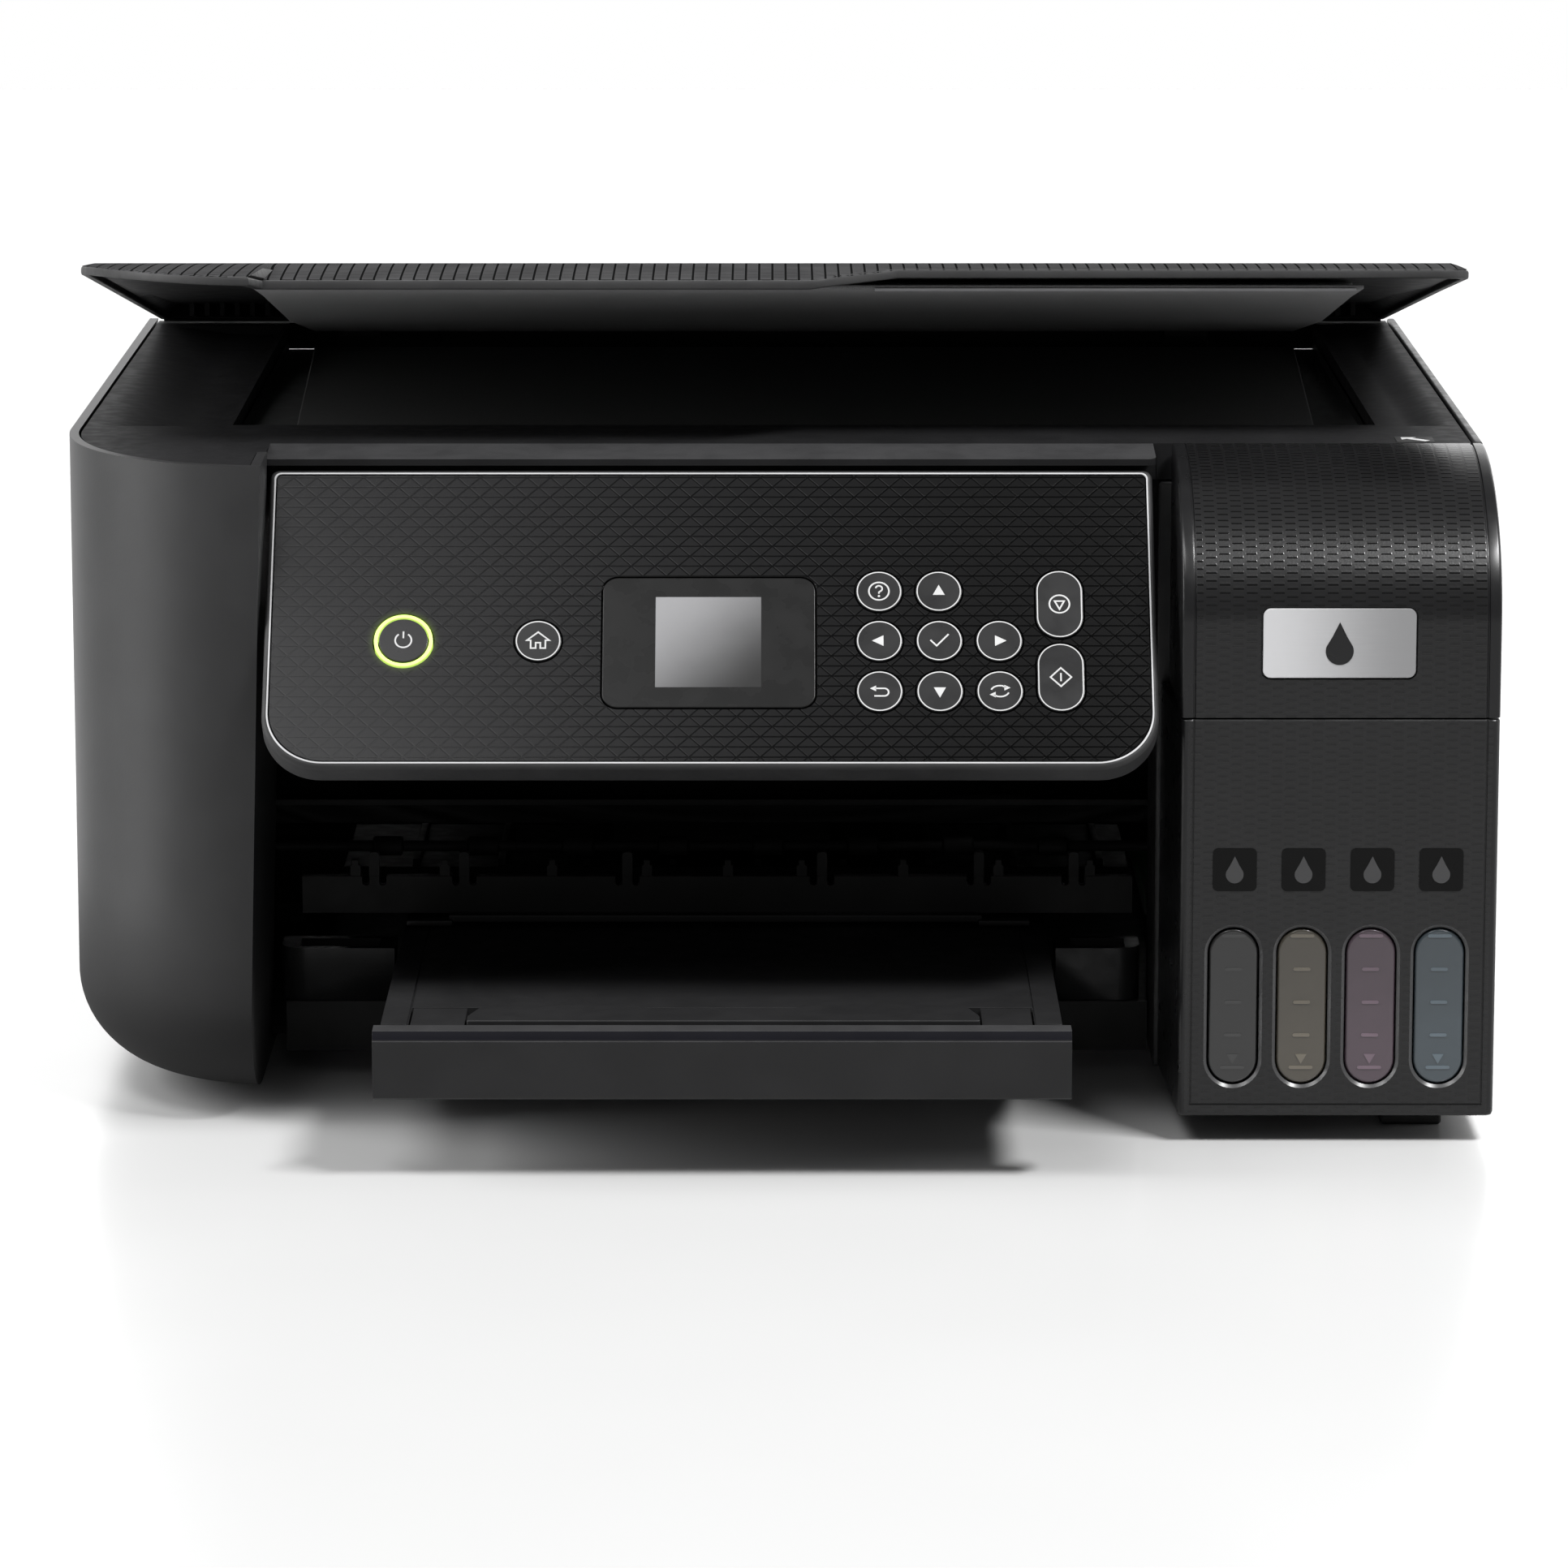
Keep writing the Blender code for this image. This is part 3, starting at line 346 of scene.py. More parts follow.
class Look:
    """A Principled material, built node by node."""

    def __init__(self, name, roughness=0.5, **fixed):
        self.material = bpy.data.materials.new(name)
        self.material.use_nodes = True
        self.tree = self.material.node_tree
        self.shader = self.tree.nodes["Principled BSDF"]
        self.shader.inputs["Roughness"].default_value = roughness
        for socket, value in fixed.items():
            self.shader.inputs[socket.replace("_", " ")].default_value = value

    def feed(self, socket, value):
        if isinstance(value, bpy.types.NodeSocket):
            self.tree.links.new(value, socket)
        elif hasattr(value, "__len__") and len(value) == 3 and socket.type == "RGBA":
            socket.default_value = (*value, 1.0)
        else:
            socket.default_value = value

    def node(self, kind, inputs=None, **settings):
        made = self.tree.nodes.new("ShaderNode" + kind)
        for key, value in settings.items():
            setattr(made, key, value)
        for key, value in (inputs or {}).items():
            self.feed(made.inputs[key], value)
        return made

    def calc(self, operation, *values, clamp=False):
        made = self.node("Math", operation=operation, use_clamp=clamp)
        for socket, value in zip(made.inputs, values):
            self.feed(socket, value)
        return made.outputs[0]

    def step(self, value, low, high, to=(0.0, 1.0)):
        """A smooth step of value between low and high."""
        inputs = {"Value": value, "From Min": low, "From Max": high, "To Min": to[0], "To Max": to[1]}
        return self.node("MapRange", inputs, interpolation_type="SMOOTHSTEP").outputs["Result"]

    def blend(self, factor, first, second):
        made = self.node("Mix", data_type="RGBA")
        for index, value in ((0, factor), (6, first), (7, second)):
            self.feed(made.inputs[index], value)
        return made.outputs[2]

    def places(self):
        """The object's own coordinates, in millimetres, as three sockets."""
        where = self.node("TexCoord").outputs["Object"]
        apart = self.node("SeparateXYZ", {"Vector": where})
        return [self.calc("MULTIPLY", axis, 1 / MM) for axis in apart.outputs]

    def noise(self, size, detail=2.0, stretch=(1.0, 1.0, 1.0)):
        """Noise with blobs of about size millimetres."""
        where = self.node("TexCoord").outputs["Object"]
        scale = tuple(1 / (size * MM * share) for share in stretch)
        scaled = self.node("Mapping", {"Vector": where, "Scale": scale})
        inputs = {"Vector": scaled.outputs[0], "Scale": 1.0, "Detail": detail}
        return self.node("TexNoise", inputs).outputs["Fac"]

    def cells(self, size):
        """The distance to the middle of leather-like cells of about size millimetres."""
        where = self.node("TexCoord").outputs["Object"]
        inputs = {"Vector": where, "Scale": 1 / (size * MM), "Smoothness": 0.6}
        return self.node("TexVoronoi", inputs, feature="SMOOTH_F1").outputs["Distance"]

    def near(self, value, spacing, half, edge):
        """One on lines that repeat every spacing, half wide to each side, with a soft edge."""
        turn = self.calc("FRACT", self.calc("ADD", self.calc("DIVIDE", value, spacing), 0.5))
        away = self.calc("MULTIPLY", self.calc("ABSOLUTE", self.calc("SUBTRACT", turn, 0.5)), spacing)
        return self.step(away, half, half + edge, to=(1.0, 0.0))

    def bump(self, height, depth, strength=1.0):
        """Relief of depth millimetres where height runs from 0 to 1."""
        made = self.node("Bump", {"Height": height, "Distance": depth * MM, "Strength": strength})
        self.feed(self.shader.inputs["Normal"], made.outputs[0])

    def paint(self, colour):
        self.feed(self.shader.inputs["Base Color"], colour)

    def worn(self, colour, roughness, patch=18.0, shade=0.10, spread=0.05):
        """A colour that drifts a little over patches, and a roughness that drifts over smaller ones."""
        drift = self.step(self.noise(patch), 0.35, 0.65)
        rough = self.step(self.noise(patch / 4), 0.3, 0.7, to=(roughness - spread, roughness + spread))
        self.feed(self.shader.inputs["Roughness"], rough)
        return self.blend(drift, tone(colour, 1 - shade), tone(colour, 1 + shade))


def moulded(name, colour, roughness, grain=0.6, depth=0.02, painted_shade_heights=None, **fixed):
    """Moulded plastic with a fine leather grain; where heights are given, painted shade darkens it and makes
    it rough from the upper height down to the lower one.
    """
    look = Look(name, roughness, **fixed)
    surface = look.worn(colour, roughness)
    # Painted shade: the colour falls to a third towards the bottom.
    if painted_shade_heights is not None:
        height = look.places()[2]
        surface = look.blend(look.step(height, *painted_shade_heights), tone(colour, 0.3), surface)
        look.feed(look.shader.inputs["Roughness"], look.step(height, *painted_shade_heights, to=(0.95, roughness)))
    look.paint(surface)
    height = look.calc("ADD", look.cells(grain), look.calc("MULTIPLY", look.noise(grain * 2.5), 0.6))
    look.bump(height, depth)
    return look.material


def smooth_plastic(name, colour, roughness, **fixed):
    """Smooth plastic with only a faint waviness."""
    look = Look(name, roughness, **fixed)
    look.paint(look.worn(colour, roughness, patch=26.0, shade=0.06, spread=0.03))
    look.bump(look.noise(3.0, 3.0), 0.004)
    return look.material


COLUMN_PITCH = 3.47
DASH_PITCH = 2.1


def woven(name, colour, roughness, line=0.12, shine=0.3, seam_from=0.455):
    """Moulded relief of narrow columns of short dashes, neighbours half a step apart, with painted shade in
    the dashes and the seams.
    """
    look = Look(name, roughness, Specular_IOR_Level=shine)
    where = look.node("SeparateXYZ", {"Vector": look.node("UVMap", uv_map="relief").outputs[0]})
    across = look.calc("DIVIDE", look.calc("MULTIPLY", where.outputs[0], 1 / MM), COLUMN_PITCH)
    rise = look.calc("DIVIDE", look.calc("MULTIPLY", where.outputs[1], 1 / MM), DASH_PITCH)
    column = look.calc("FLOOR", across)
    inside = look.calc("ABSOLUTE", look.calc("SUBTRACT", look.calc("SUBTRACT", across, column), 0.5))
    odd = look.calc("FLOORED_MODULO", column, 2.0)
    turn = look.calc("FRACT", look.calc("ADD", rise, look.calc("MULTIPLY", odd, 0.5)))
    level = look.calc("SUBTRACT", turn, 0.5)
    short = look.step(inside, 0.37, 0.42, to=(1.0, 0.0))
    thin = look.step(look.calc("ABSOLUTE", level), 0.07, 0.13, to=(1.0, 0.0))
    dash = look.calc("MULTIPLY", short, thin)
    seam = look.step(inside, seam_from, seam_from + 0.03)
    flank = look.calc("MULTIPLY", look.step(level, 0.06, 0.45, to=(0.35, 0.0)), look.step(level, -0.02, 0.04))
    scale = look.calc("MULTIPLY", flank, short)
    # Painted shade: the dashes, and the seams as strongly as line, are darkened as if shaded in their
    # grooves.
    groove_shade = look.calc("MAXIMUM", dash, look.calc("MULTIPLY", seam, line))
    look.paint(look.blend(groove_shade, look.worn(colour, roughness), tone(colour, 0.12)))
    look.feed(look.shader.inputs["Roughness"], look.step(groove_shade, 0.0, 1.0, to=(roughness, 0.12)))
    fine = look.calc("MULTIPLY", look.noise(0.5), 0.3)
    look.bump(look.calc("ADD", scale, fine), 0.07)
    return look.material


LATTICE_ROW = 2.95
LATTICE_BASE = 6.1


def lattice(name, colour, roughness, glow_at, glow_radius, glow_colour):
    """Satin panel with a printed lattice of triangles, a painted reflection that lightens its left, and a
    painted glow of the lit ring's light.
    """
    look = Look(name, roughness, Specular_IOR_Level=0.13)
    x, _, z = look.places()
    rows = look.near(z, LATTICE_ROW, 0.13, 0.12)
    climb = LATTICE_BASE / 2 / LATTICE_ROW
    narrow = LATTICE_ROW / math.hypot(LATTICE_BASE / 2, LATTICE_ROW)
    rising = look.near(look.calc("MULTIPLY_ADD", z, -climb, x), LATTICE_BASE, 0.13 / narrow, 0.12 / narrow)
    falling = look.near(look.calc("MULTIPLY_ADD", z, climb, x), LATTICE_BASE, 0.13 / narrow, 0.12 / narrow)
    lines = look.calc("MAXIMUM", rows, look.calc("MAXIMUM", rising, falling))
    # The lines grow fainter towards the left.
    line_strength = look.step(x, PANEL.x0, PANEL.x1, to=(0.45, 0.95))
    lines = look.calc("MULTIPLY", lines, line_strength)
    # Painted reflection: the ground is lighter at the left and darker at the right.
    ground = look.blend(look.step(x, PANEL.x0, PANEL.x1), tone(colour, 1.6), tone(colour, 0.4))
    look.paint(look.blend(lines, ground, tone(colour, 0.1)))
    look.feed(look.shader.inputs["Roughness"], look.step(lines, 0.0, 1.0, to=(roughness, 0.12)))
    look.bump(look.calc("SUBTRACT", look.calc("MULTIPLY", look.noise(2.0), 0.05), lines), 0.02)
    # Painted light: the face glows in a soft green band round the power ring.
    reach = look.calc("SQRT", look.calc(
        "ADD",
        look.calc("POWER", look.calc("SUBTRACT", x, glow_at[0]), 2.0),
        look.calc("POWER", look.calc("SUBTRACT", z, glow_at[1]), 2.0),
    ))
    away = look.calc("ABSOLUTE", look.calc("SUBTRACT", reach, glow_radius))
    glow = look.calc("POWER", look.step(away, 0.0, 4.0, to=(1.0, 0.0)), 3.0)
    look.shader.inputs["Emission Color"].default_value = (*glow_colour, 1.0)
    look.feed(look.shader.inputs["Emission Strength"], look.calc("MULTIPLY", glow, 0.10))
    return look.material


def display(name, box, low, high):
    """A dark display whose grey falls from its top left to its bottom right, a painted glow standing in for
    the screen's backlight.
    """
    look = Look(name, 0.3, Specular_IOR_Level=0.15)
    x, _, z = look.places()
    across = look.calc("DIVIDE", look.calc("SUBTRACT", x, box[0]), box[1] - box[0])
    down = look.calc("DIVIDE", look.calc("SUBTRACT", box[3], z), box[3] - box[2])
    fall = look.calc("ADD", look.calc("MULTIPLY", across, 0.5), look.calc("MULTIPLY", down, 0.5))
    fall = look.calc("ADD", fall, look.calc("MULTIPLY", look.noise(8.0), 0.06))
    # Painted light: lighter grey towards the top left.
    look.paint(look.blend(look.step(fall, 0.05, 1.0), high, low))
    return look.material


TRACK_PITCH = 2.54


def circuit(name):
    """Green lacquer over copper tracks."""
    look = Look(name, 0.35)
    x, y, _ = look.places()
    tracks = []
    for value, stretch in ((x, (1, 6, 1)), (y, (6, 1, 1))):
        where = look.step(look.noise(9.0, 0.0, stretch), 0.5, 0.52)
        tracks.append(look.calc("MULTIPLY", look.near(value, TRACK_PITCH, 0.35, 0.1), where))
    copper = look.calc("MAXIMUM", *tracks)
    look.paint(look.blend(copper, (0.006, 0.045, 0.016), (0.02, 0.12, 0.04)))
    look.bump(copper, 0.03)
    return look.material


def tank_wall(name, colour):
    """Translucent tank wall with ink behind it, a little lighter towards its foot."""
    look = Look(name, 0.3, Coat_Weight=0.4, Coat_Roughness=0.12)
    _, _, z = look.places()
    drift = look.step(z, WINDOW.z0, WINDOW.z1)
    cloudy = look.calc("ADD", drift, look.calc("MULTIPLY", look.calc("SUBTRACT", look.noise(6.0), 0.5), 0.5))
    look.paint(look.blend(look.step(cloudy, 0.0, 1.0), tone(colour, 1.12), tone(colour, 0.82)))
    look.bump(look.noise(1.2), 0.01)
    return look.material


def brushed_badge(name, box):
    """A satin silver plate, lighter at its left end as a painted reflection."""
    look = Look(name, 0.32, Metallic=0.25)
    x, _, _ = look.places()
    lines = look.noise(0.35, 2.0, (30.0, 1.0, 1.0))
    # Painted reflection: the colour falls from light at the left to dark at the right.
    reflection_fade = look.step(look.calc("ADD", x, look.calc("MULTIPLY", lines, 3.0)), box.x0, box.x1)
    look.paint(look.blend(reflection_fade, (0.55, 0.55, 0.56), (0.24, 0.24, 0.244)))
    look.bump(lines, 0.004)
    return look.material


def glass(name):
    """Half-clear grey glass with faint dust."""
    look = Look(name, 0.03, Transmission_Weight=0.5, IOR=1.5)
    dust = look.step(look.noise(4.0, 6.0), 0.55, 0.9)
    look.paint(look.blend(dust, (0.115, 0.117, 0.116), (0.135, 0.136, 0.136)))
    look.feed(look.shader.inputs["Roughness"], look.step(dust, 0.0, 1.0, to=(0.02, 0.08)))
    return look.material


def foam(name, colour):
    """Fine-pored foam under a matt skin."""
    look = Look(name, 0.75, Sheen_Weight=0.15)
    pores = look.cells(0.45)
    look.paint(look.blend(look.step(pores, 0.1, 0.6), tone(colour, 0.8), tone(colour, 1.1)))
    look.bump(pores, 0.03)
    return look.material


def lit(name, colour, strength):
    """A light guide that glows evenly, with a faint drift in its own colour."""
    look = Look(name, 0.35)
    drift = look.step(look.noise(2.0), 0.3, 0.7)
    look.paint(look.blend(drift, tone(colour, 0.9), colour))
    look.shader.inputs["Emission Color"].default_value = (*colour, 1.0)
    look.shader.inputs["Emission Strength"].default_value = strength
    return look.material


# Driving places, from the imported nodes

CASE = Box("left_case")
TANK = Box("tank_housing")
COVER = Box("tank_cover")
BADGE = Box("tank_badge")
SCANNER = Box("scanner_frame")
GLASS = Box("platen_glass")
PAD = Box("document_pad")
TRAY = Box("output_tray")
LIP = Box("tray_extension")
STOPPER = Box("paper_stopper")
WINGS = Box("front_frame")


class Area:
    """A rectangle in the plane of a face."""

    def __init__(self, x0, x1, z0, z1):
        self.x0, self.x1, self.z0, self.z1 = x0, x1, z0, z1


# Left case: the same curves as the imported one, in finer steps

COLUMN_LEAN = 5.0
CORNER_DEPTH = 71.0
SIDE_ROUND = (32.0, 28.0)
FRONT_ROUND = (50.0, 32.0)
WALL = 2.5
INNER_OPEN = TANK.y0 + 96.0

# Ink tanks

TANK_CENTRES = tuple(Box(f"ink_tank_{ink}").x for ink in ("black", "yellow", "magenta", "cyan"))
WINDOW = Area(-6.75, 6.75, 15.4, 57.2)
TILE = (5.7, 66.9, 78.2)
COVER_KNEE = 137.0
COVER_REAR = COVER.y1 - TANK.y0
RIM_BAND = 3.3
GROOVE = (0.5, 0.45)

# Lid, in the place that it has when it is closed

LID_OPEN = 8.6
LID_SIDE = 184.0
LID_BOTTOM = 176.3
LID_RIM = 2.4
LID_TOP = 184.5
LID_FRONT = TANK.y0 + 42.0
LID_FRONT_RIGHT = TANK.y0 + 57.0
LID_CREST = TANK.y0 + 80.0
LID_REAR = TANK.y0 + 320.7
LID_STEP = (10.0, 33.0)
LID_LIFTS = (4.9, 3.4)

# Control panel, upright in its hinge's own frame

PANEL_TILT = 38.3
PANEL = Area(-131.3, 99.3, -82.7, 5.5)
PANEL_HALF_DEPTH = 4.5
PANEL_CORNERS = (15.5, 2.5)
FACE_INSET = 1.6
BUTTON_TOP = 4.0
BUTTON_RADIUS = 6.0
KEY_COLUMNS = (27.6, 43.1, 58.55)
KEY_ROWS = (35.2, 49.8, 64.6)
OBROUND_X = 74.3
OBROUND_ROWS = (39.0, 60.5)
OBROUND_HALF = (6.1, 10.0)
POWER = (-95.3, 49.7)
HOME = (-60.5, 49.8)
POWER_RING = (6.65, 7.6)
SCREEN = (-43.9, 11.1, 31.1, 69.3)
LIT_SCREEN = (-30.2, -2.9, 36.9, 63.4)

RING_GREEN = (0.58, 0.84, 0.16)


def key_spot(x, row):
    """A key's place on the panel from its distance below the top row line."""
    return x, BUTTON_TOP - row


def hinge_frame(joint, lean):
    """The frame of a hinge's own axis, leaning by some degrees about X."""
    return Matrix.Translation(Vector(JOINTS[joint]["pos_m"])) @ Matrix.Rotation(math.radians(lean), 4, "X")


AT_PANEL = hinge_frame("panel_hinge", -PANEL_TILT)
AT_LID = hinge_frame("lid_hinge", -LID_OPEN) @ Matrix.Translation(-Vector(JOINTS["lid_hinge"]["pos_m"]))

LOOKS = {
    "case": moulded("case_plastic", (0.017, 0.017, 0.0175), 0.44, Specular_IOR_Level=0.38),
    "bezel": moulded("bezel_plastic", (0.009, 0.009, 0.0095), 0.6, depth=0.006, Specular_IOR_Level=0.08),
    # Painted shade for the lip's chamfer, which faces up into the light.
    "strip": smooth_plastic("lip_strip_painted_shade", (0.004, 0.004, 0.006), 0.4, Specular_IOR_Level=0.05),
    # A lighter copy of the plastic for upward faces: painted light from above.
    "ledge": moulded("ledge_painted_light", (0.030, 0.030, 0.031), 0.5, depth=0.006, Specular_IOR_Level=0.2),
    "lip": moulded("lip_plastic", (0.0105, 0.0105, 0.011), 0.5, depth=0.008, Specular_IOR_Level=0.25),
    "tile": smooth_plastic("tile_plastic", (0.004, 0.004, 0.004), 0.3, Specular_IOR_Level=0.1),
    # Painted highlight for the chamfers round the tank windows.
    "rim": smooth_plastic("window_rim_painted_highlight", (0.05, 0.05, 0.051), 0.3),
    # The column's plastic carries painted shade on its lower part.
    "column": moulded(
        "column_plastic", (0.0145, 0.0145, 0.015), 0.46, depth=0.01, painted_shade_heights=(14.0, 66.0), Specular_IOR_Level=0.36
    ),
    # Light grey for the painted highlight along the pad's front edge.
    "painted_highlight": smooth_plastic("pad_painted_highlight", (0.30, 0.30, 0.31), 0.4),
    "lid": moulded("lid_plastic", (0.022, 0.022, 0.0225), 0.58, Specular_IOR_Level=0.25),
    "tank": smooth_plastic("tank_case_plastic", (0.0060, 0.0060, 0.0064), 0.30, Specular_IOR_Level=0.35),
    "tank_relief": woven("tank_relief", (0.0052, 0.0052, 0.0055), 0.30, shine=0.42),
    # The lid's upward faces get a lighter colour than the lid and no shine: a painted reflection.
    "lid_relief_painted_reflection": woven("lid_relief_painted_reflection", (0.046, 0.046, 0.047), 0.7, line=1.0, shine=0.0, seam_from=0.40),
    "inner": moulded(
        "inner_plastic", (0.021, 0.021, 0.021), 0.55, grain=0.8, depth=0.008, Specular_IOR_Level=0.12
    ),
    "roller": moulded(
        "roller_rubber", (0.006, 0.006, 0.006), 0.6, grain=0.9, depth=0.01, Specular_IOR_Level=0.1
    ),
    "tray": smooth_plastic("tray_plastic", (0.014, 0.014, 0.0145), 0.38, Specular_IOR_Level=0.3),
    "gloss": smooth_plastic("panel_gloss", (0.012, 0.012, 0.0125), 0.3, Specular_IOR_Level=0.22),
    "screen": smooth_plastic("screen_bezel", (0.008, 0.008, 0.008), 0.28, Specular_IOR_Level=0.15),
    "print": smooth_plastic("light_print", (0.42, 0.42, 0.42), 0.4),
    "faint_print": smooth_plastic("faint_print", (0.032, 0.032, 0.033), 0.4),
    "silver_line": smooth_plastic("silver_line", (0.36, 0.36, 0.365), 0.4),
    "ring": lit("light_guide", RING_GREEN, 0.9),
    "glass": glass("bed_glass"),
    "pad": foam("pad_foam", (0.115, 0.115, 0.117)),
    "dark_steel": smooth_plastic("blackened_steel", (0.005, 0.005, 0.005), 0.5, Specular_IOR_Level=0.1),
    "rubber": moulded("soft_rubber", (0.012, 0.012, 0.012), 0.7, grain=0.9, depth=0.03),
    "board": circuit("circuit_board"),
}
LOOKS["face"] = lattice(
    "panel_lattice", (0.0062, 0.0062, 0.0065), 0.24, key_spot(*POWER), sum(POWER_RING) / 2, RING_GREEN
)
LOOKS["display"] = display(
    "display_glass",
    (LIT_SCREEN[0], LIT_SCREEN[1], BUTTON_TOP - LIT_SCREEN[3], BUTTON_TOP - LIT_SCREEN[2]),
    (0.02, 0.02, 0.02),
    (0.22, 0.22, 0.225),
)
LOOKS["badge"] = brushed_badge("badge_silver", BADGE)
INKS = {
    "black": (0.011, 0.011, 0.011),
    "yellow": (0.050, 0.044, 0.034),
    "magenta": (0.053, 0.037, 0.047),
    "cyan": (0.035, 0.046, 0.054),
}


def paint_faces(piece, look, wanted):
    """Give the faces that wanted(middle, normal) picks a second material. The middle is in millimetres."""
    piece.data.materials.append(look)
    index = len(piece.data.materials) - 1
    for face in piece.data.polygons:
        if wanted(face.center / MM, face.normal):
            face.material_index = index


def unroll(piece, rule):
    """Write the relief's map: rule gives two lengths in millimetres for a point in millimetres."""
    layer = piece.data.uv_layers.new(name="relief")
    for loop in piece.data.loops:
        u, v = rule(piece.data.vertices[loop.vertex_index].co / MM)
        layer.data[loop.index].uv = (u * MM, v * MM)


# The case


def run_in(z, top, run, rise):
    """How far a rounded lower edge has drawn in at height z."""
    if z >= top:
        return 0.0
    return run * (1 - math.sqrt(max(0.0, 1 - ((top - z) / rise) ** 2)))


def column_ring(z, inset, rear):
    """The left case's plan at height z, drawn in by inset."""
    side = CASE.x0 + inset
    side += run_in(z, CASE.z0 + SIDE_ROUND[1], SIDE_ROUND[0] - inset, SIDE_ROUND[1] - inset)
    front = CASE.y0 + inset
    front += run_in(z, CASE.z0 + FRONT_ROUND[1], FRONT_ROUND[0] - inset, FRONT_ROUND[1] - inset)
    right = CASE.x1 - COLUMN_LEAN * (1 - z / CASE.z1) - inset
    radii = (CASE.x1 - side, CASE.y0 + CORNER_DEPTH - front)
    end = math.degrees(math.acos((CASE.x1 - right) / radii[0]))
    corner = arc((CASE.x1, CASE.y0 + CORNER_DEPTH), radii, 180, 180 + end, 48)
    return [(x, y, z) for x, y in [(side, rear)] + corner + [(right, rear)]]


def column_heights(floor, top):
    """Ring heights, closest together where the lower edges are round."""
    knee = CASE.z0 + FRONT_ROUND[1]
    steps = 20
    return [knee - (knee - floor) * math.cos(math.pi / 2 * k / steps) for k in range(steps + 1)] + [top]


def make_left_case():
    rings = [column_ring(z, 0.0, CASE.y1) for z in column_heights(CASE.z0, CASE.z1)]
    case = add("fine_left_case", loft(rings), LOOKS["column"])
    hollow = [column_ring(z, WALL, CASE.y1 + 5) for z in column_heights(CASE.z0 + WALL, CASE.z1 + 5)]
    cut(case, loft(hollow))
    cut(case, block(CASE.x1 - 10, CASE.x1 + 7, INNER_OPEN, CASE.y1 + 10, 6.2, 190))
    ledge = SCANNER.z0 - 0.5
    cut(case, block(CASE.x1 - 4, CASE.x1 + 7, TANK.y0 + 39, INNER_OPEN + 1, ledge, 190))
    dress(case, "chassis", "case_plastic", "left_case", width=0.8, segments=3)


def make_shells():
    refine("right_case", LOOKS["case"], 0.8, 3)
    y0 = WINGS.y0 + 1
    wider = [block(x0, x1, y0, y0 + 16, 19, 35) for x0, x1 in ((-126, LIP.x0 - 0.5), (LIP.x1 + 0.5, 93.5))]
    pockets = [block(x0, x1, y0 + 3, y0 + 13, 29, 40) for x0, x1 in ((-128, -106.5), (81, 95.5))]
    refine("front_frame", LOOKS["case"], 0.7, 3, add_solids=wider, cut_solids=pockets)
    paint_faces(bpy.data.objects["fine_front_frame"], LOOKS["inner"], lambda c, n: c.z < 18.9)
    refine("base_pan", LOOKS["inner"], 0.3)
    rear = Box("rear_cover")
    slots = []
    for side in (-1, 1):
        for k in range(9):
            x = side * (62 + 9 * k)
            slots.append(prism("Y", obround((x, 100), 1.6, 14, 6), rear.y1 - 8, rear.y1 + 5))
    slots += [block(-108, 108, rear.y1 - 0.6, rear.y1 + 5, 60, 60.8)]
    refine("rear_cover", LOOKS["case"], 0.9, 3, cut_solids=slots)
    for node in ("foot_front_left", "foot_front_right", "foot_rear_left", "foot_rear_right"):
        refine(node, LOOKS["rubber"], 0.4)


# Ink tanks


def in_relief(middle, low=-1000.0):
    """Whether a point lies inside the smooth border of the tank unit's relief."""
    return COVER.x0 + RIM_BAND < middle.x < COVER.x1 - RIM_BAND and middle.z > low


